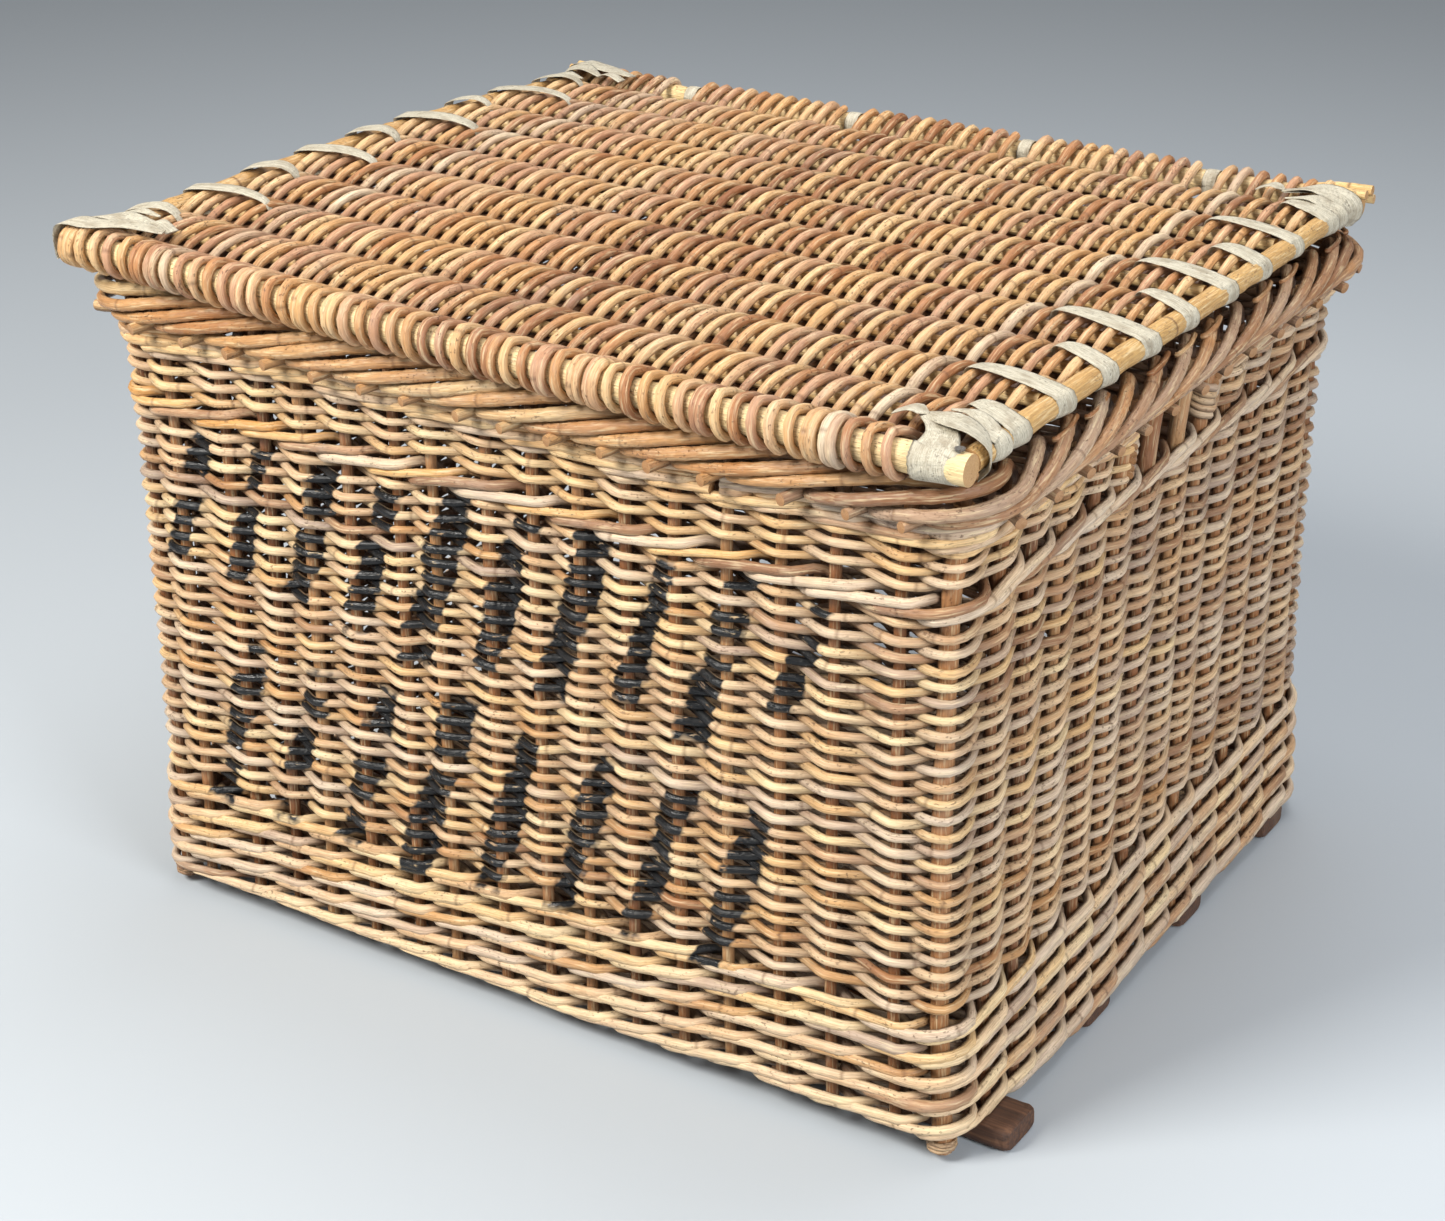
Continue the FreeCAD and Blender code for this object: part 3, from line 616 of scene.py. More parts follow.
def painted_marks(sh, place, cane):
    """Two rows of plain slanted brush strokes in black on the outside of the front."""
    x, y, z = sh.axes(place)
    ragged = sh.times(sh.minus(sh.noise(place, 55.0, 2.0), 0.5), 0.026)
    lean = 0.34
    total = None
    for seed, row_z, tallest, left, right, pitch in (
        (11.0, 0.412, 0.094, -0.385, 0.315, 0.070), (22.0, 0.203, 0.100, -0.350, 0.262, 0.0765),
    ):
        up = sh.minus(z, row_z)
        slid = sh.math("ADD", sh.minus(x, sh.times(up, lean)), ragged)
        cell = sh.math("DIVIDE", sh.minus(slid, left), pitch)
        within = sh.math("ABSOLUTE", sh.minus(sh.math("FRACT", cell), 0.5))
        chance = sh.node("ShaderNodeTexWhiteNoise", noise_dimensions="1D")
        sh.link(sh.math("ADD", sh.math("FLOOR", cell), seed), chance.inputs["W"])
        chance = chance.outputs["Value"]
        width = sh.map(chance, 0.0, 1.0, 0.15, 0.24)
        stroke = sh.map(sh.minus(within, width), -0.02, 0.025, 1.0, 0.0)
        height = sh.map(chance, 0.0, 1.0, tallest * 0.72, tallest)
        upright = sh.math("ADD", sh.math("ABSOLUTE", up), ragged)
        tall = sh.map(sh.minus(upright, height), -0.003, 0.004, 1.0, 0.0)
        ends = sh.times(sh.math("GREATER_THAN", slid, left), sh.math("LESS_THAN", slid, right))
        mark = sh.times(sh.times(stroke, tall), ends)
        total = mark if total is None else sh.math("MAXIMUM", total, mark)
    front = sh.map(y, MID_Y - HALF_Y + 0.002, MID_Y - HALF_Y + 0.008, 1.0, 0.0)
    normal = sh.node("ShaderNodeNewGeometry").outputs["Normal"]
    outward = sh.map(sh.axes(normal)[1], 0.0, 0.35, 1.0, 0.0)
    worn = sh.map(sh.streaks(cane, (70, 260, 260), 3.0), 0.28, 0.36, 0.3, 1.0)
    mask = sh.times(sh.times(front, outward), worn)
    return sh.times(total, mask)


STRAW = [
    (0.0, 166, 116, 76), (0.14, 204, 156, 102), (0.32, 228, 190, 136),
    (0.5, 236, 210, 164), (0.66, 228, 196, 160), (0.82, 212, 170, 122),
    (1.0, 206, 184, 160),
]
GREYED = [
    (0.0, 146, 106, 76), (0.2, 194, 152, 114), (0.4, 224, 190, 148),
    (0.58, 222, 200, 174), (0.8, 200, 172, 146), (1.0, 178, 156, 138),
]
ORANGE = [
    (0.0, 132, 84, 48), (0.25, 176, 122, 74), (0.5, 206, 160, 106),
    (0.75, 186, 136, 88), (1.0, 214, 182, 132),
]
BORDER = [
    (0.0, 126, 80, 48), (0.3, 170, 126, 90), (0.55, 182, 156, 132),
    (0.8, 186, 134, 86), (1.0, 150, 122, 104),
]
AMBER = [(0.0, 188, 126, 66), (0.35, 216, 160, 90), (0.65, 230, 194, 138), (1.0, 208, 172, 136)]
STAKE = [(0.0, 108, 66, 40), (0.4, 148, 96, 58), (0.75, 176, 124, 80), (1.0, 202, 160, 112)]
PALE = [(0.0, 178, 132, 76), (0.5, 206, 168, 108), (1.0, 238, 212, 158)]
HONEY = [
    (0.0, 142, 90, 56), (0.18, 178, 124, 80), (0.38, 210, 164, 110),
    (0.56, 222, 184, 134), (0.72, 196, 150, 116), (0.86, 170, 122, 90),
    (1.0, 218, 196, 166),
]

mat_front = cane_material("cane_front", STRAW, grey=0.3, paint=True)
mat_side = cane_material("cane_weathered", GREYED, grey=0.6)
mat_amber = cane_material("cane_amber", AMBER, rough=(0.34, 0.55), grey=0.3)
mat_orange = cane_material("cane_orange", ORANGE, rough=(0.34, 0.55), grey=0.25)
mat_border = cane_material("cane_border", BORDER, rough=(0.36, 0.55), grey=0.35)
mat_stake = cane_material("cane_stake", STAKE, rough=(0.45, 0.65), grey=0.2, speck=0.4)
mat_lid = cane_material("cane_lid", HONEY, grey=0.35, speck=0.6, shade=0.0)
mat_pale = cane_material("cane_pale", PALE, grey=0.2, rings=0.75, shade=0.0)


def strip_material():
    """Flat split cane: cream, dull, fibrous, with grey stains and mildew specks."""
    sh = Shader("split_cane")
    cane = sh.attribute("cane", vector=True)
    fibre = sh.streaks(cane, (30, 1400, 1400), 3.0, 0.65)
    color = sh.ramp(fibre, [(0.25, 122, 114, 96), (0.5, 184, 176, 156), (0.8, 220, 214, 198)])
    stain = sh.streaks(cane, (50, 90, 90), 3.0)
    color = sh.tint(color, sh.map(stain, 0.48, 0.68, 0.0, 0.75), (146, 134, 114))
    dots = sh.map(sh.streaks(cane, (260, 320, 320), 1.0), 0.66, 0.74)
    color = sh.tint(color, sh.times(dots, 0.6), (92, 84, 72))
    # painted shade, from the per-point value the canes carry
    color = sh.tint(color, sh.times(sh.attribute("dirt"), 0.5), (120, 104, 82))
    rough = sh.map(stain, 0.3, 0.7, 0.5, 0.72)
    wrinkle = sh.streaks(cane, (150, 70, 70), 3.0)
    relief = sh.bump(wrinkle, 0.9, 0.0035)
    return sh.surface(color, rough, sh.bump(fibre, 0.6, 0.0007, relief))


def runner_material():
    """Rough dark wood with long grain and dust."""
    sh = Shader("dark_wood")
    place = sh.place()
    grain = sh.streaks(place, (9, 260, 260), 4.0, 0.6)
    color = sh.ramp(grain, [(0.25, 44, 28, 20), (0.5, 82, 54, 38), (0.8, 122, 86, 62)])
    dust = sh.map(sh.noise(place, 22.0, 4.0), 0.55, 0.75, 0.0, 0.5)
    color = sh.tint(color, dust, (150, 128, 106))
    return sh.surface(color, sh.map(grain, 0.3, 0.7, 0.6, 0.85), sh.bump(grain, 0.6, 0.0012))


def nail_material():
    """Dull grey steel with rust freckles."""
    sh = Shader("nail_steel")
    rust = sh.noise(sh.place(), 900.0, 3.0)
    color = sh.ramp(rust, [(0.4, 134, 132, 128), (0.6, 108, 100, 92), (0.75, 118, 84, 60)])
    sh.bsdf.inputs["Metallic"].default_value = 0.8
    return sh.surface(color, sh.map(rust, 0.3, 0.7, 0.35, 0.6), sh.bump(rust, 0.3, 0.0002))


mat_strip = strip_material()
mat_runner = runner_material()
mat_nail = nail_material()

# ---- stakes and posts


def by_wall(start):
    """One set of canes for each wall."""
    return {name: Canes(start + name) for name in WALLS}


stake_canes = by_wall("stake_canes_")
post_canes = Canes("corner_post_canes")
for index, (s, size) in enumerate(zip(STAKE_S, STAKE_R)):
    post = size == POST_RADIUS
    z = np.linspace(0.006 if post else Z_RUNNER + 0.008, Z_BORDER[0] + 0.012, 26)
    in_hole = HOLE_RIGHT[0] <= index <= HOLE_RIGHT[1] or HOLE_LEFT[0] <= index <= HOLE_LEFT[1]
    girth = size * (1 + 0.05 * np.sin(z * 23 + rng.uniform(0, 6)) + rng.uniform(-0.06, 0.06))
    if in_hole:
        girth = girth + 2.6 * MM * slope(z - Z_ACCENT[0], -0.01, 0.01)
    bend = 0.8 * MM * np.sin(z * 9 + rng.uniform(0, 6))
    path, out = on_wall(s + bend, np.zeros(len(z)), z)
    target = post_canes if post else stake_canes[wall_name(index)]
    # a light, even painted shade on the stakes and posts, which stand behind the weavers
    target.add(path, girth, out, tone_pick(), sides=10, dirt=0.15)

# ---- side weave

wale_canes = by_wall("bottom_wale_canes_")
siding_canes = by_wall("siding_canes_")
accent_canes = by_wall("accent_wale_canes_")
upper_canes = by_wall("upper_siding_canes_")
rim_canes = by_wall("rim_wale_canes_")

WALE_ROWS = 5
SIDING_ROWS = 49
UPPER_ROWS = 6
SIDING_CANE = 3.8 * MM
wale_step = (Z_WALE[1] - Z_WALE[0] - 0.004) / WALE_ROWS
for row in range(WALE_ROWS):
    z = Z_WALE[0] + 0.004 + (row + 0.5) * wale_step
    wale_row(wale_canes, z, 0.010, 4.6 * MM)
plain_rows(siding_canes, Z_SIDING[0] + 0.002, Z_SIDING[1], SIDING_ROWS, SIDING_CANE)
wale_row(accent_canes, middle("accent_wale", 2), 0.017, 4.4 * MM)
plain_rows(upper_canes, Z_UPPER[0] + 0.002, Z_UPPER[1], UPPER_ROWS, SIDING_CANE, hole=True)
for z in (Z_RIM[0] + 0.005, Z_RIM[1] - 0.004):
    stretches = [(low - 0.1, high + 0.1) for low, high in BETWEEN_HOLES]
    wale_row(rim_canes, z, 0.012, 4.3 * MM, stretches)

# ---- rolled border

border_canes = by_wall("border_canes_")
border_mid = (span("border", 1)[1] - (MID_Y + HALF_Y) - WALL / 2) / 2
border_z = middle("border", 2)
tip_canes = Canes("border_tip_canes")
ARCH_OUT = 18.5 * MM
ARCH_UP = 15 * MM
BACK_DROP = 3.2 * MM  # leaves room for the opened lid
for index in range(TOTAL):
    s0 = STAKE_S[index]
    spread = 3.7 if wall_name(index) in ("front", "back") else 3.3
    length = s0 - s_of(np.array([index - spread]))[0]
    thick = rng.uniform(4.8, 5.9) * MM
    sweep = np.linspace(0, 1, 9)
    angle = np.radians(118 - 174 * sweep ** 0.88)
    radial = border_mid + ARCH_OUT * np.cos(angle)
    height = border_z - 0.001 + ARCH_UP * np.sin(angle) + rng.uniform(-1.2, 1.2) * MM
    knots = [(s0, 0.0, Z_BORDER[0] - 0.004), (s0, -0.001, Z_BORDER[0] + 0.016)]
    knots += [(s0 - 0.013 - (length - 0.013) * w, r, h) for w, r, h in zip(sweep, radial, height)]
    knots.append((s0 - length - 0.013, border_mid - 3 * MM, border_z - 17 * MM))
    knots = smooth(knots, 56)
    path, out = on_wall(*knots.T)
    path[:, 2] -= BACK_DROP * slope(path[:, 1] - MID_Y - HALF_Y, -0.05, -0.02)
    up = np.broadcast_to(UP, path.shape) * 0.5 + out
    share = np.linspace(0, 1, len(path))
    girth = thick * np.interp(share, [0, 0.2, 0.9, 1], [1.15, 1.12, 0.9, 0.66])
    name = wall_name(index)
    # painted shade where the rod rises out of the wall and where its end tucks down
    tucked_shade = np.interp(share, [0, 0.16, 0.24, 0.9, 1], [1, 1, 0.1, 0, 0.8])
    border_canes[name].add(path, girth, up, tone_pick(), sides=10, dirt=tucked_shade)
    # trimmed end of the same rod, poking out below the border
    stub_s = s0 - length - 0.015 + rng.uniform(-1, 1) * 2 * MM
    reach = border_mid + rng.uniform(21, 25) * MM
    stub = smooth([
        (stub_s + 0.014, border_mid - 8 * MM, border_z - 13 * MM),
        (stub_s + 0.004, border_mid + 2 * MM, border_z - 15 * MM),
        (stub_s - 0.004, reach, border_z - 17 * MM),
    ], 8)
    path, out = on_wall(*stub.T)
    border_canes[name].add(path, rng.uniform(4.4, 5.2) * MM, UP, tone_pick(0.3, 1), sides=12)
    # thin brown tip lying on top of the border
    if rng.random() < 0.75 and path[:, 1].max() < MID_Y + HALF_Y - 0.05:
        tip_s = s0 - rng.uniform(0, 12) * MM
        tip = smooth([
            (tip_s - 0.002, border_mid + 4 * MM, border_z + 17.0 * MM),
            (tip_s, border_mid + 6.5 * MM, border_z + 18.3 * MM),
            (tip_s + 0.024, border_mid + 4 * MM, border_z + 18.2 * MM),
            (tip_s + 0.05, border_mid - 3 * MM, border_z + 17.4 * MM),
        ], 12)
        path, out = on_wall(*tip.T)
        tip_canes.add(path, rng.uniform(2.2, 3.0) * MM, UP, tone_pick(0.3, 1), sides=6)

# ---- base

base_canes = Canes("base_weave_canes")
base_rods = Canes("base_stick_canes")
base_low, base_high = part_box("base_weave")
stick_low, stick_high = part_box("base_sticks")
BASE_STICKS = 8
base_stick_r = half("base_sticks", 2)
stick_x = np.linspace(stick_low[0] + base_stick_r, stick_high[0] - base_stick_r, BASE_STICKS)
base_z = middle("base_weave", 2)
# the base's rods and weave carry an even painted shade, as they lie under the basket
for x in stick_x:
    y = np.linspace(stick_low[1], stick_high[1], 24)
    path = line(x + 0.8 * MM * np.sin(y * 11 + rng.uniform(0, 6)), y, base_z)
    base_rods.add(path, base_stick_r * 0.8, UP, tone_pick(), sides=10, dirt=0.3)
base_pitch = stick_x[1] - stick_x[0]
BASE_ROW = 8.8 * MM
rows = int((base_high[1] - base_low[1] - 0.012) / BASE_ROW)
for row in range(rows):
    y = base_low[1] + 0.008 + (row + 0.5) * BASE_ROW
    x = np.linspace(base_low[0] + 0.004, base_high[0] - 0.004, 76)
    swing = np.cos(math.pi * (x - stick_x[0]) / base_pitch + math.pi * row)
    corner = np.clip(0.016 - min(y - base_low[1], base_high[1] - y), 0, 1)
    x = np.clip(x, base_low[0] + 0.004 + corner, base_high[0] - 0.004 - corner)
    z = np.maximum(base_z + swing * (base_stick_r * 0.8 + 3.6 * MM), Z_RUNNER + 0.004)
    base_canes.add(line(x, y, z), 4.1 * MM, UP, tone_pick(), dirt=0.35)

# ---- lid

front_low, front_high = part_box("lid_front_rod")
weave_low, weave_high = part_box("lid_weave")
FRONT_Y = middle("lid_front_rod", 1)
HINGE_Y = middle("lid_back_rod", 1)
LID_Z = middle("lid_front_rod", 2)
RIBS = 9
RIB_STEP = (HINGE_Y - FRONT_Y) / (RIBS + 1)
ROD_R = half("lid_front_rod", 1)
BACK_R = half("lid_back_rod", 1)
RIB_R = 6.0 * MM

rod_canes = Canes("lid_rod_canes")
for y, size in [(FRONT_Y, ROD_R), (HINGE_Y, BACK_R)]:
    x = np.linspace(front_low[0], front_high[0], 90)
    girth = size * (1 + 0.02 * np.sin(x * 31 + rng.uniform(0, 6)))
    rod_canes.add(line(x, y, LID_Z), girth, UP, tone_pick(0.75, 1), sides=20)
rib_canes = Canes("lid_rib_canes")
for index in range(1, RIBS + 1):
    x = np.linspace(weave_low[0] + 0.002, weave_high[0] - 0.002, 60)
    y = FRONT_Y + index * RIB_STEP + 1.2 * MM * np.sin(x * 8 + rng.uniform(0, 6))
    rib_canes.add(line(x, y, LID_Z), RIB_R, UP, tone_pick(), sides=10, dirt=0.1)

tie_low, tie_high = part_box("hinge_ties")
tie_x = np.linspace(tie_low[0] + 7 * MM, tie_high[0] - 7 * MM, 4)
LID_STRANDS = 104
strand_x = np.linspace(weave_low[0] + 0.005, weave_high[0] - 0.005, LID_STRANDS)
strand_x = strand_x + rng.uniform(-0.7, 0.7, LID_STRANDS) * MM
lid_canes = [Canes("lid_weave_canes_%d" % (part + 1)) for part in range(2)]
# at the front right the weavers stop under the corner strap
STRAP_FROM = front_high[0] - 0.051


def lid_strand(x, over_front, thick, back_wrap):
    """One weaver from the front rod to the back rod, over and under the ribs."""
    count = (RIBS + 1) * 8 + 1
    j = np.linspace(0, RIBS + 1, count)
    sign = 1 if over_front else -1
    swing = sign * np.cos(math.pi * j)
    swing = np.sign(swing) * np.abs(swing) ** 0.8
    reach = np.full(count, RIB_R) + thick
    reach = reach + (ROD_R - RIB_R) * np.clip(1 - j / 0.8, 0, 1)
    reach = reach + (BACK_R - RIB_R) * np.clip(1 - (RIBS + 1 - j) / 0.8, 0, 1)
    y = FRONT_Y + j * RIB_STEP
    drift = 0.7 * MM * np.sin(j * rng.uniform(0.3, 0.8) + rng.uniform(0, 6))
    path = line(x + drift, y, LID_Z + swing * reach)
    # painted shade: the parts that pass under the ribs are darkened
    dirt = np.clip(0.62 - 0.9 * swing, 0, 1.15)
    keep = (j > (0.42 if x > STRAP_FROM else -1)) & (j < RIBS + (9 if back_wrap else 0.3))
    return path[keep], dirt[keep]


for pair in range(LID_STRANDS // 2):
    thick = rng.uniform(3.6, 4.4) * MM
    x_even = strand_x[2 * pair]
    x_odd = strand_x[2 * pair + 1]
    clear = [np.min(np.abs(tie_x - x)) > 13 * MM for x in (x_even, x_odd)]
    even, even_shade = lid_strand(x_even, True, thick, clear[0])
    odd, odd_shade = lid_strand(x_odd, False, thick, clear[1])
    turns = 3 if rng.random() < 0.22 else 1
    turn = np.linspace(0, turns * math.pi, 11 * turns)[1:-1]
    loop_r = ROD_R + thick * rng.uniform(0.96, 1.04)
    bow = rng.uniform(-0.5, 0.5) * MM
    loop = line(
        x_even + (x_odd - x_even) * turn / (turns * math.pi) + bow * np.sin(turn),
        FRONT_Y - loop_r * np.sin(turn),
        LID_Z + loop_r * np.cos(turn),
    )
    wrap = np.zeros((0, 3))
    if clear[0] and clear[1]:
        bend = np.linspace(0, math.pi, 12)[1:]
        back_r = BACK_R + thick
        wrap = line(
            x_even - 0.004 * bend / math.pi,
            HINGE_Y + back_r * np.sin(bend),
            LID_Z + back_r * np.cos(bend),
        )
        even_shade = np.concatenate([even_shade, np.zeros(len(bend))])
    tone = tone_pick()
    target = lid_canes[0 if pair < LID_STRANDS // 4 else 1]
    after_rod = np.vstack([wrap[::-1], even[::-1]])
    if x_odd > STRAP_FROM:
        runs = [(after_rod, even_shade[::-1]), (odd, odd_shade)]
    else:
        dirt = np.concatenate([even_shade[::-1], np.zeros(len(loop)), odd_shade])
        runs = [(np.vstack([after_rod, loop, odd]), dirt)]
    for path, dirt in runs:
        taper = thick * np.linspace(1.03, 0.95, len(path))
        target.add(path, taper, (1, 0, 0), tone, dirt=dirt, knobs=0.09)
# the wrapping runs on to the left ends of both rods
COIL_TURNS = 3.2
turn = np.linspace(0, COIL_TURNS * FULL_TURN, 76)
for y, size in ((FRONT_Y, ROD_R), (HINGE_Y, BACK_R)):
    x = np.linspace(front_low[0] + 0.004, weave_low[0] + 0.001, 76)
    path = line(x, y + (size + 0.004) * np.sin(turn), LID_Z + (size + 0.004) * np.cos(turn))
    lid_canes[0].add(path, 3.8 * MM, (1, 0, 0), tone_pick(), knobs=0.09)

stick_canes = Canes("lid_end_stick_canes")
for node in ("lid_end_stick_left", "lid_end_stick_right"):
    y = np.linspace(*span(node, 1), 70)
    x = middle(node, 0) + 1.0 * MM * np.sin(y * 9)
    girth = half(node, 0) * (1 + 0.02 * np.sin(y * 40))
    stick_canes.add(line(x, y, LID_Z), girth, UP, tone_pick(0.1, 0.6), sides=14)

binding_canes = Canes("lid_binding_strips")


def strip(canes, points, width, count, tone, ref, ends, thick=1.6 * MM):
    """Flat split-cane strip; ref lies across it, ends gives the share of width left at each end."""
    fade = np.interp(np.linspace(0, 1, count), [0, 0.25, 1], [ends[0], 1.0, ends[1]])
    canes.add(smooth(points, count), width / 2 * fade, ref, tone, sides=12, knobs=0.03, thick=thick)


THIN = 1.3 * MM
BINDING_RISE = 9.4 * MM
for side, node in ((-1, "lid_end_stick_left"), (1, "lid_end_stick_right")):
    mid_x = middle(node, 0)
    size = half(node, 0) + 1.0 * MM
    for index in range(1, RIBS + 1):
        reach = (0.040 if index % 2 else 0.078) + rng.uniform(-3, 3) * MM
        y = FRONT_Y + index * RIB_STEP + rng.uniform(-3, 3) * MM
        skew = rng.uniform(4, 10) * MM
        top = RIB_R + BINDING_RISE
        start_x = mid_x - side * reach
        points = [
            (start_x - side * 0.004, y + skew, LID_Z + 0.004),
            (start_x + side * 0.003, y + skew, LID_Z + top - 0.001),
            (start_x + side * reach * 0.35, y + skew * 0.7, LID_Z + top + 0.0012),
            (start_x + side * reach * 0.75, y + skew * 0.2, LID_Z + top - 0.001),
        ]
        for angle in np.radians([70, 35, 0, -35, -70, -100]):
            points.append((mid_x + side * size * math.cos(angle), y, LID_Z + size * math.sin(angle)))
        points.append((mid_x - side * 0.02, y + 0.002, LID_Z - size + 0.002))
        if side < 0:
            for step in (2, 3, 4, 5):
                place = points[step]
                points[step] = (place[0] - 0.001, place[1], place[2] + 0.002)
        width = rng.uniform(20, 26) * MM
        strip(binding_canes, points, width, 44, tone_pick(), (0.2 * side, 1, 0), (0.3, 1.0), THIN)

strap_canes = Canes("lid_corner_strips")


def around_rod(x, y, size, angles):
    """Points round a rod that lies along X; 90 degrees is its top, 180 its front."""
    return [
        (x + 0.004 * k / len(angles), y + size * math.cos(a), LID_Z + size * math.sin(a))
        for k, a in enumerate(np.radians(angles))
    ]


for side, x_end in ((1, front_high[0]), (-1, front_low[0])):
    node = "lid_end_stick_right" if side > 0 else "lid_end_stick_left"
    wrap_r = half(node, 0) / MM + 1.5
    for y, size, way in ((FRONT_Y, ROD_R, -1), (HINGE_Y, BACK_R, 1)):

        def corner(*rows, start=x_end):
            """Points from mm inward from start, mm inward from the rod and mm above its middle."""
            return [(start - side * a * MM, y - way * b * MM, LID_Z + c * MM) for a, b, c in rows]

        over = [100, 125, 150, 175, 200, 225, 250, 275]
        if way > 0:
            over = [180 - angle for angle in over]
        if side > 0:
            first = corner((60, 44, 16.5), (36, 22, size / MM + 4.5))
            first += around_rod(x_end - 0.027, y, size + 0.0011, over)
            strip(strap_canes, first, 37 * MM, 52, 0.5, (1, 0.2, 0), (0.35, 0.9))
        else:
            top = size / MM + 8.5
            hump = 3 if way < 0 else -1
            first = corner(
                (88, 26, top - 1), (60, 16, top + hump), (30, 6, top), (8, 0, top), (-3, 0, top - 6),
                (-5, 0, 0), (-3, 0, -13),
            )
            strip(strap_canes, first, 28 * MM, 52, 0.5, (0, 1, 0), (0.35, 0.9))
        second = corner(
            (60, 44, 16.5), (34, 34, 20.5), (14, 30, 17.5), (1, 28, 9), (-1, 27, -3), (6, 26, -12.5)
        )
        strip(strap_canes, second, 30 * MM, 44, 0.7, (0.5 * side, way, 0), (0.3, 0.85))
        round_stick = [
            (-wrap_r * math.sin(a), 48, wrap_r * math.cos(a)) for a in np.radians([5, 40, 75, 110, 145])
        ]
        third = corner((40, 62, 16), (18, 58, 18.5), *round_stick, start=middle(node, 0))
        strip(strap_canes, third, 21 * MM, 44, 0.3, (0.2, 1, 0), (0.15, 0.9))
        bow = corner((58, 43, 17.5), (70, 41, 20.5), (84, 40, 15))
        strip(strap_canes, bow, 17 * MM, 20, 0.5, (0, 1, 0), (0.2, 0.9))
        if way > 0:
            for shift, rise in ((16, 4), (10, 13.5), (-5, 13)):
                rows = (75, 0.4 * shift, 0.4 * rise), (30, -0.8 * shift, 0.9 * rise), (-6, -shift, rise)
                ends = smooth(corner(*rows), 12)
                stick_canes.add(ends, rng.uniform(4.0, 5.0) * MM, UP, tone_pick(0.4, 1), sides=12)

tie_canes = Canes("hinge_tie_strips")
border_y = (span("border", 1)[1] + (MID_Y + HALF_Y - WALL / 2)) / 2
rod = BACK_R + 1.1 * MM
rim = (tie_high[1] - border_y) - 1.0 * MM
for x in tie_x:
    points = [
        (x, middle_y + size * math.cos(angle), middle_z + size * math.sin(angle))
        for middle_y, middle_z, size, begin, end in (
            (HINGE_Y, LID_Z, rod, 190, -10), (border_y, border_z, rim, -5, -175),
        )
        for angle in np.radians(np.linspace(begin, end, 9))
    ]
    points.append(points[0])
    strip(tie_canes, points, 13.5 * MM, 70, tone_pick(), (1, 0, 0), (1.0, 1.0), THIN)

lash_canes = Canes("corner_lashing_canes")
for s in STAKE_S[STAKE_R == POST_RADIUS]:
    post_x, post_y = wall(np.array([s]))[0][0]
    for start, size in ((0.0, 10.0 * MM), (2.4, 11.2 * MM)):
        turn = np.linspace(start, start + 3 * FULL_TURN, 60)
        frayed = size + rng.uniform(-0.7, 0.7, 60) * MM
        z = np.linspace(0.0095, 0.0185, 60) + rng.uniform(-0.5, 0.5, 60) * MM
        path = line(post_x + frayed * np.cos(turn), post_y + frayed * np.sin(turn), z)
        lash_canes.add(path, 1.5 * MM, UP, tone_pick(0, 0.4), sides=6, dirt=0.35, knobs=0.2)

# ---- runners

RUNNER_SIDES = 24


def runner(node):
    """Rough-sawn runner: a box with worn edges and uneven faces."""
    low, high = np.array(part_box(node), float)
    high[0] += 0.016 if node == "base_runner_1" else -0.009
    centre = (low + high) / 2
    angle = FULL_TURN * (np.arange(RUNNER_SIDES) + 0.5) / RUNNER_SIDES
    section = np.column_stack([np.cos(angle), np.sin(angle)])
    section = np.sign(section) * np.abs(section) ** 0.4 * (high - low)[1:] / 2
    close = np.array([1, 2, 4, 6]) * MM
    x = np.unique(np.concatenate([np.linspace(low[0], high[0], 82), low[0] + close, high[0] - close]))
    points = []
    for value in x:
        rough = 1 - 0.02 * np.abs(rng.standard_normal(RUNNER_SIDES))
        near = min(value - low[0], high[0] - value)
        worn = 1 - 0.12 * max(0.0, 1 - near / 0.007) ** 2
        ring = section * rough[:, None] * worn + centre[1:]
        points.append(line(value, ring[:, 0], np.clip(ring[:, 1], low[2], high[2])))
    index = np.arange(len(x) * RUNNER_SIDES).reshape(-1, RUNNER_SIDES)
    here = index[:-1]
    ahead = index[1:]
    quads = np.stack([here, np.roll(here, -1, 1), np.roll(ahead, -1, 1), ahead], axis=2)
    faces = quads.reshape(-1, 4).tolist() + [index[0, ::-1].tolist(), index[-1].tolist()]
    mesh = bpy.data.meshes.new(node + "_wood")
    mesh.from_pydata(np.concatenate(points).tolist(), [], faces)
    mesh.materials.append(mat_runner)
    obj = add_object(node + "_wood", mesh)
    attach(obj, "basket")
    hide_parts(node)


for number in range(1, 5):
    runner("base_runner_%d" % number)

# ---- put the pieces together

POSTS = ["corner_post_" + place for place in ("front_left", "front_right", "back_left", "back_right")]
for name in WALLS:
    plain = mat_front if name == "front" else mat_side
    accent = mat_amber if name == "front" else mat_side
    rolled = mat_orange if name == "front" else mat_border
    rim = "rim_wale_front" if name in ("front", "left") else "rim_wale_back"
    for canes, material, slot, nodes in (
        (stake_canes, mat_stake, "brown_stake", ["stakes_" + name]),
        (wale_canes, plain, "straw_cane", ["bottom_wale"]),
        (siding_canes, plain, "straw_cane", ["siding_" + name, "siding_corners"]),
        (accent_canes, accent, "orange_cane", ["accent_wale"]),
        (upper_canes, plain, "straw_cane", ["upper_siding_" + name, "upper_siding_corners"]),
        (rim_canes, plain, "straw_cane", [rim]),
        (border_canes, rolled, "orange_cane", ["border"]),
    ):
        canes[name].build(material, "basket", slot, nodes)
post_canes.build(mat_stake, "basket", "brown_stake", POSTS)
tip_canes.build(mat_stake, "basket", "orange_cane", ["border"])
base_canes.build(mat_side, "basket", "straw_cane", ["base_weave"])
base_rods.build(mat_stake, "basket", "brown_stake", ["base_sticks"])
lash_canes.build(mat_side, "basket", "split_cane", ["corner_lashings"])
tie_canes.build(mat_strip, "basket", "split_cane", ["hinge_ties"])
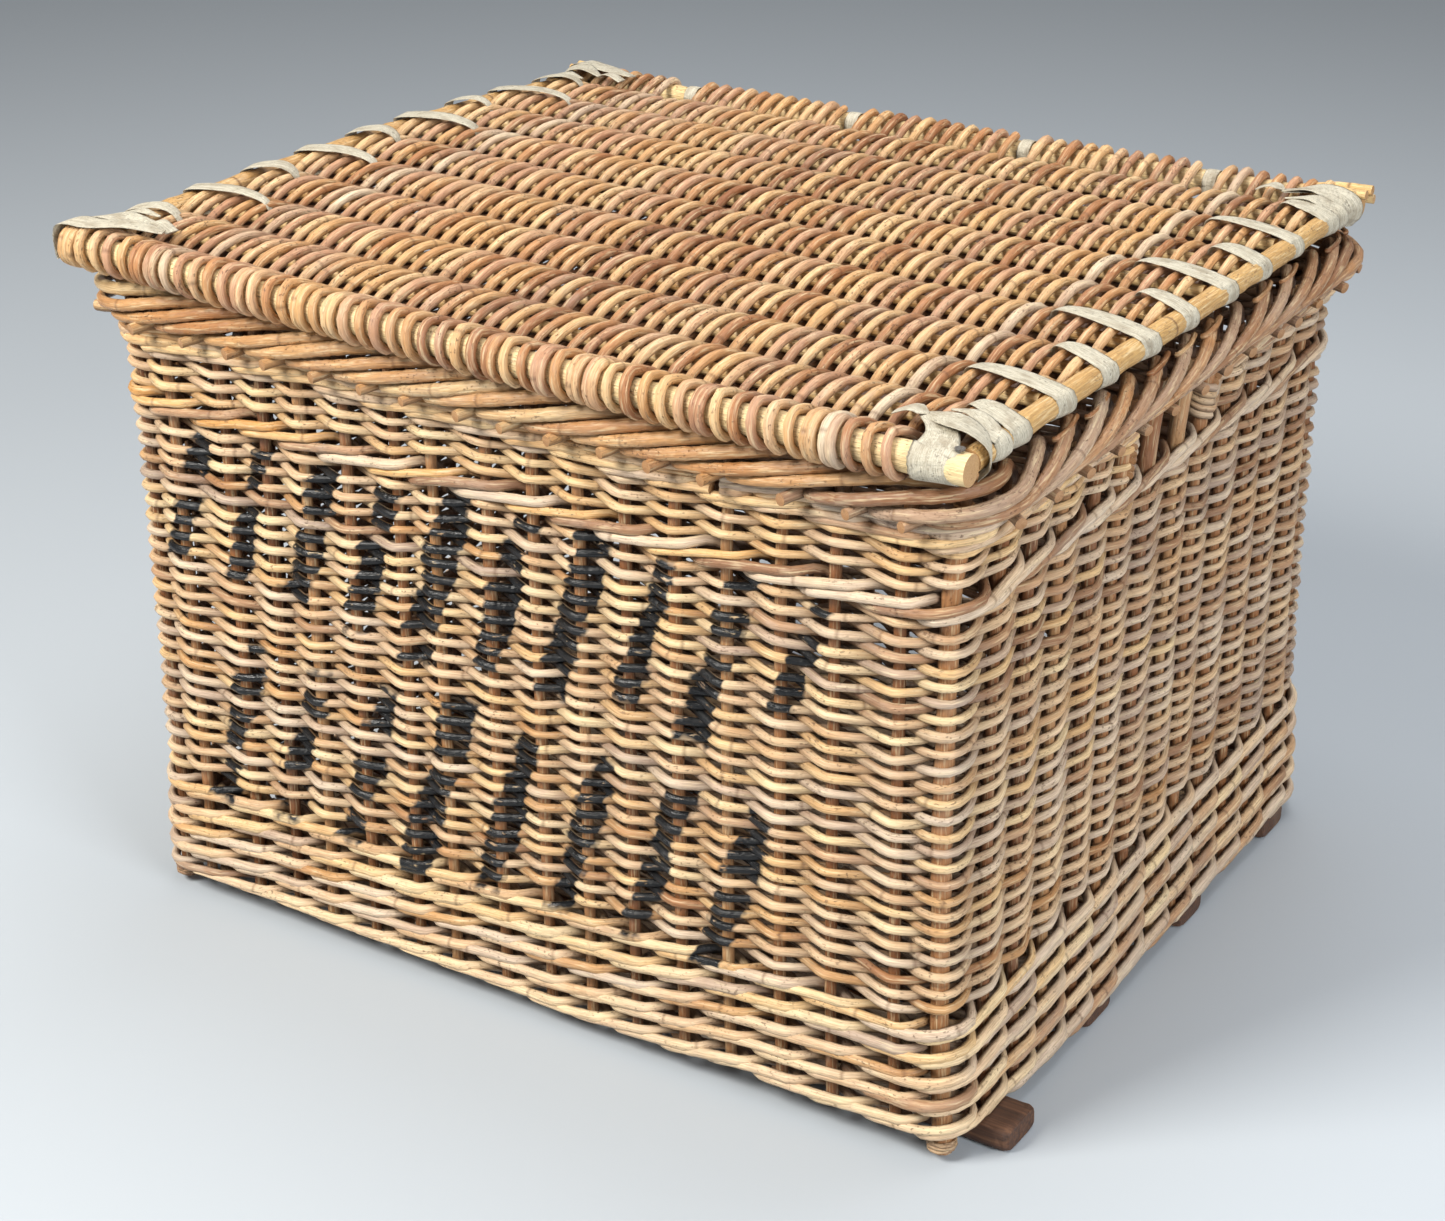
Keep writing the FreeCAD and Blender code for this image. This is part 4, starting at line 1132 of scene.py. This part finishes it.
rod_canes.build(mat_pale, "lid", "pale_rod", ["lid_front_rod", "lid_back_rod"])
rib_canes.build(mat_pale, "lid", "pale_rod", ["lid_ribs"])
stick_canes.build(mat_pale, "lid", "pale_rod", ["lid_end_stick_left", "lid_end_stick_right"])
for part in lid_canes:
    part.build(mat_lid, "lid", "straw_cane", ["lid_weave"])
binding_canes.build(mat_strip, "lid", "split_cane", ["lid_bindings_left", "lid_bindings_right"])
strap_canes.build(mat_strip, "lid", "split_cane", ["lid_straps_front", "lid_straps_back"])

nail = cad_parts["lid_corner_nail"]
nail.data.materials.clear()
nail.data.materials.append(mat_nail)

# ---- floor, light, camera

floor_mesh = bpy.data.meshes.new("floor")
FAR = 60
corners = [(-FAR, -FAR, 0), (FAR, -FAR, 0), (FAR, FAR, 0), (-FAR, FAR, 0)]
floor_mesh.from_pydata(corners, [], [(0, 1, 2, 3)])
floor = add_object("floor", floor_mesh)
floor_shader = Shader("floor_pale")
floor_shader.bsdf.inputs["Base Color"].default_value = (0.42, 0.455, 0.49, 1)
floor_shader.bsdf.inputs["Roughness"].default_value = 0.85
floor_mesh.materials.append(floor_shader.material)

scene = bpy.context.scene
scene.view_settings.view_transform = "Standard"
scene.world = bpy.data.worlds.new("studio")
scene.world.use_nodes = True
background = scene.world.node_tree.nodes["Background"]
background.inputs["Color"].default_value = (0.93, 0.96, 1.0, 1)
background.inputs["Strength"].default_value = 0.24


def area(name, place, target, size, power, color):
    """Rectangular lamp at place, turned towards target."""
    light = bpy.data.lights.new(name, "AREA")
    light.shape = "RECTANGLE"
    light.size = size[0]
    light.size_y = size[1]
    light.energy = power
    light.color = color
    obj = add_object(name, light)
    obj.rotation_euler = (Vector(place) - Vector(target)).to_track_quat("Z", "Y").to_euler()
    obj.location = place


area("key", (-1.3, -2.6, 2.9), (0, 0, 0.35), (1.5, 1.2), 200, (1.0, 0.97, 0.91))
area("fill", (3.0, -1.2, 1.8), (0, 0, 0.35), (1.6, 1.6), 88, (0.96, 0.98, 1.0))
area("top", (0.2, 0.8, 3.2), (0, 0, 0.4), (2.2, 2.2), 62, (1.0, 1.0, 1.0))

# the photograph's view
AZIMUTH = math.radians(33.03)
ELEVATION = math.radians(25.22)
ROLL = math.radians(-0.29)
back = np.array([
    math.sin(AZIMUTH) * math.cos(ELEVATION), -math.cos(AZIMUTH) * math.cos(ELEVATION), math.sin(ELEVATION),
])
right = np.cross(UP, back)
right /= np.linalg.norm(right)
up = np.cross(back, right)
axes = np.array([
    math.cos(ROLL) * right + math.sin(ROLL) * up, -math.sin(ROLL) * right + math.cos(ROLL) * up, back,
])
CENTRE_IN_VIEW = np.array([0.01349, -0.23084, -2.67098])
SHIFTED = np.array([0, -0.0064, 0])
camera_data = bpy.data.cameras.new("camera")
camera_data.sensor_width = 36
camera_data.sensor_fit = "HORIZONTAL"
camera_data.lens = 67.714879
camera = add_object("camera", camera_data)
matrix = np.eye(4)
matrix[:3, :3] = axes.T
matrix[:3, 3] = SHIFTED - axes.T @ CENTRE_IN_VIEW
camera.matrix_world = Matrix(matrix.tolist())
scene.camera = camera
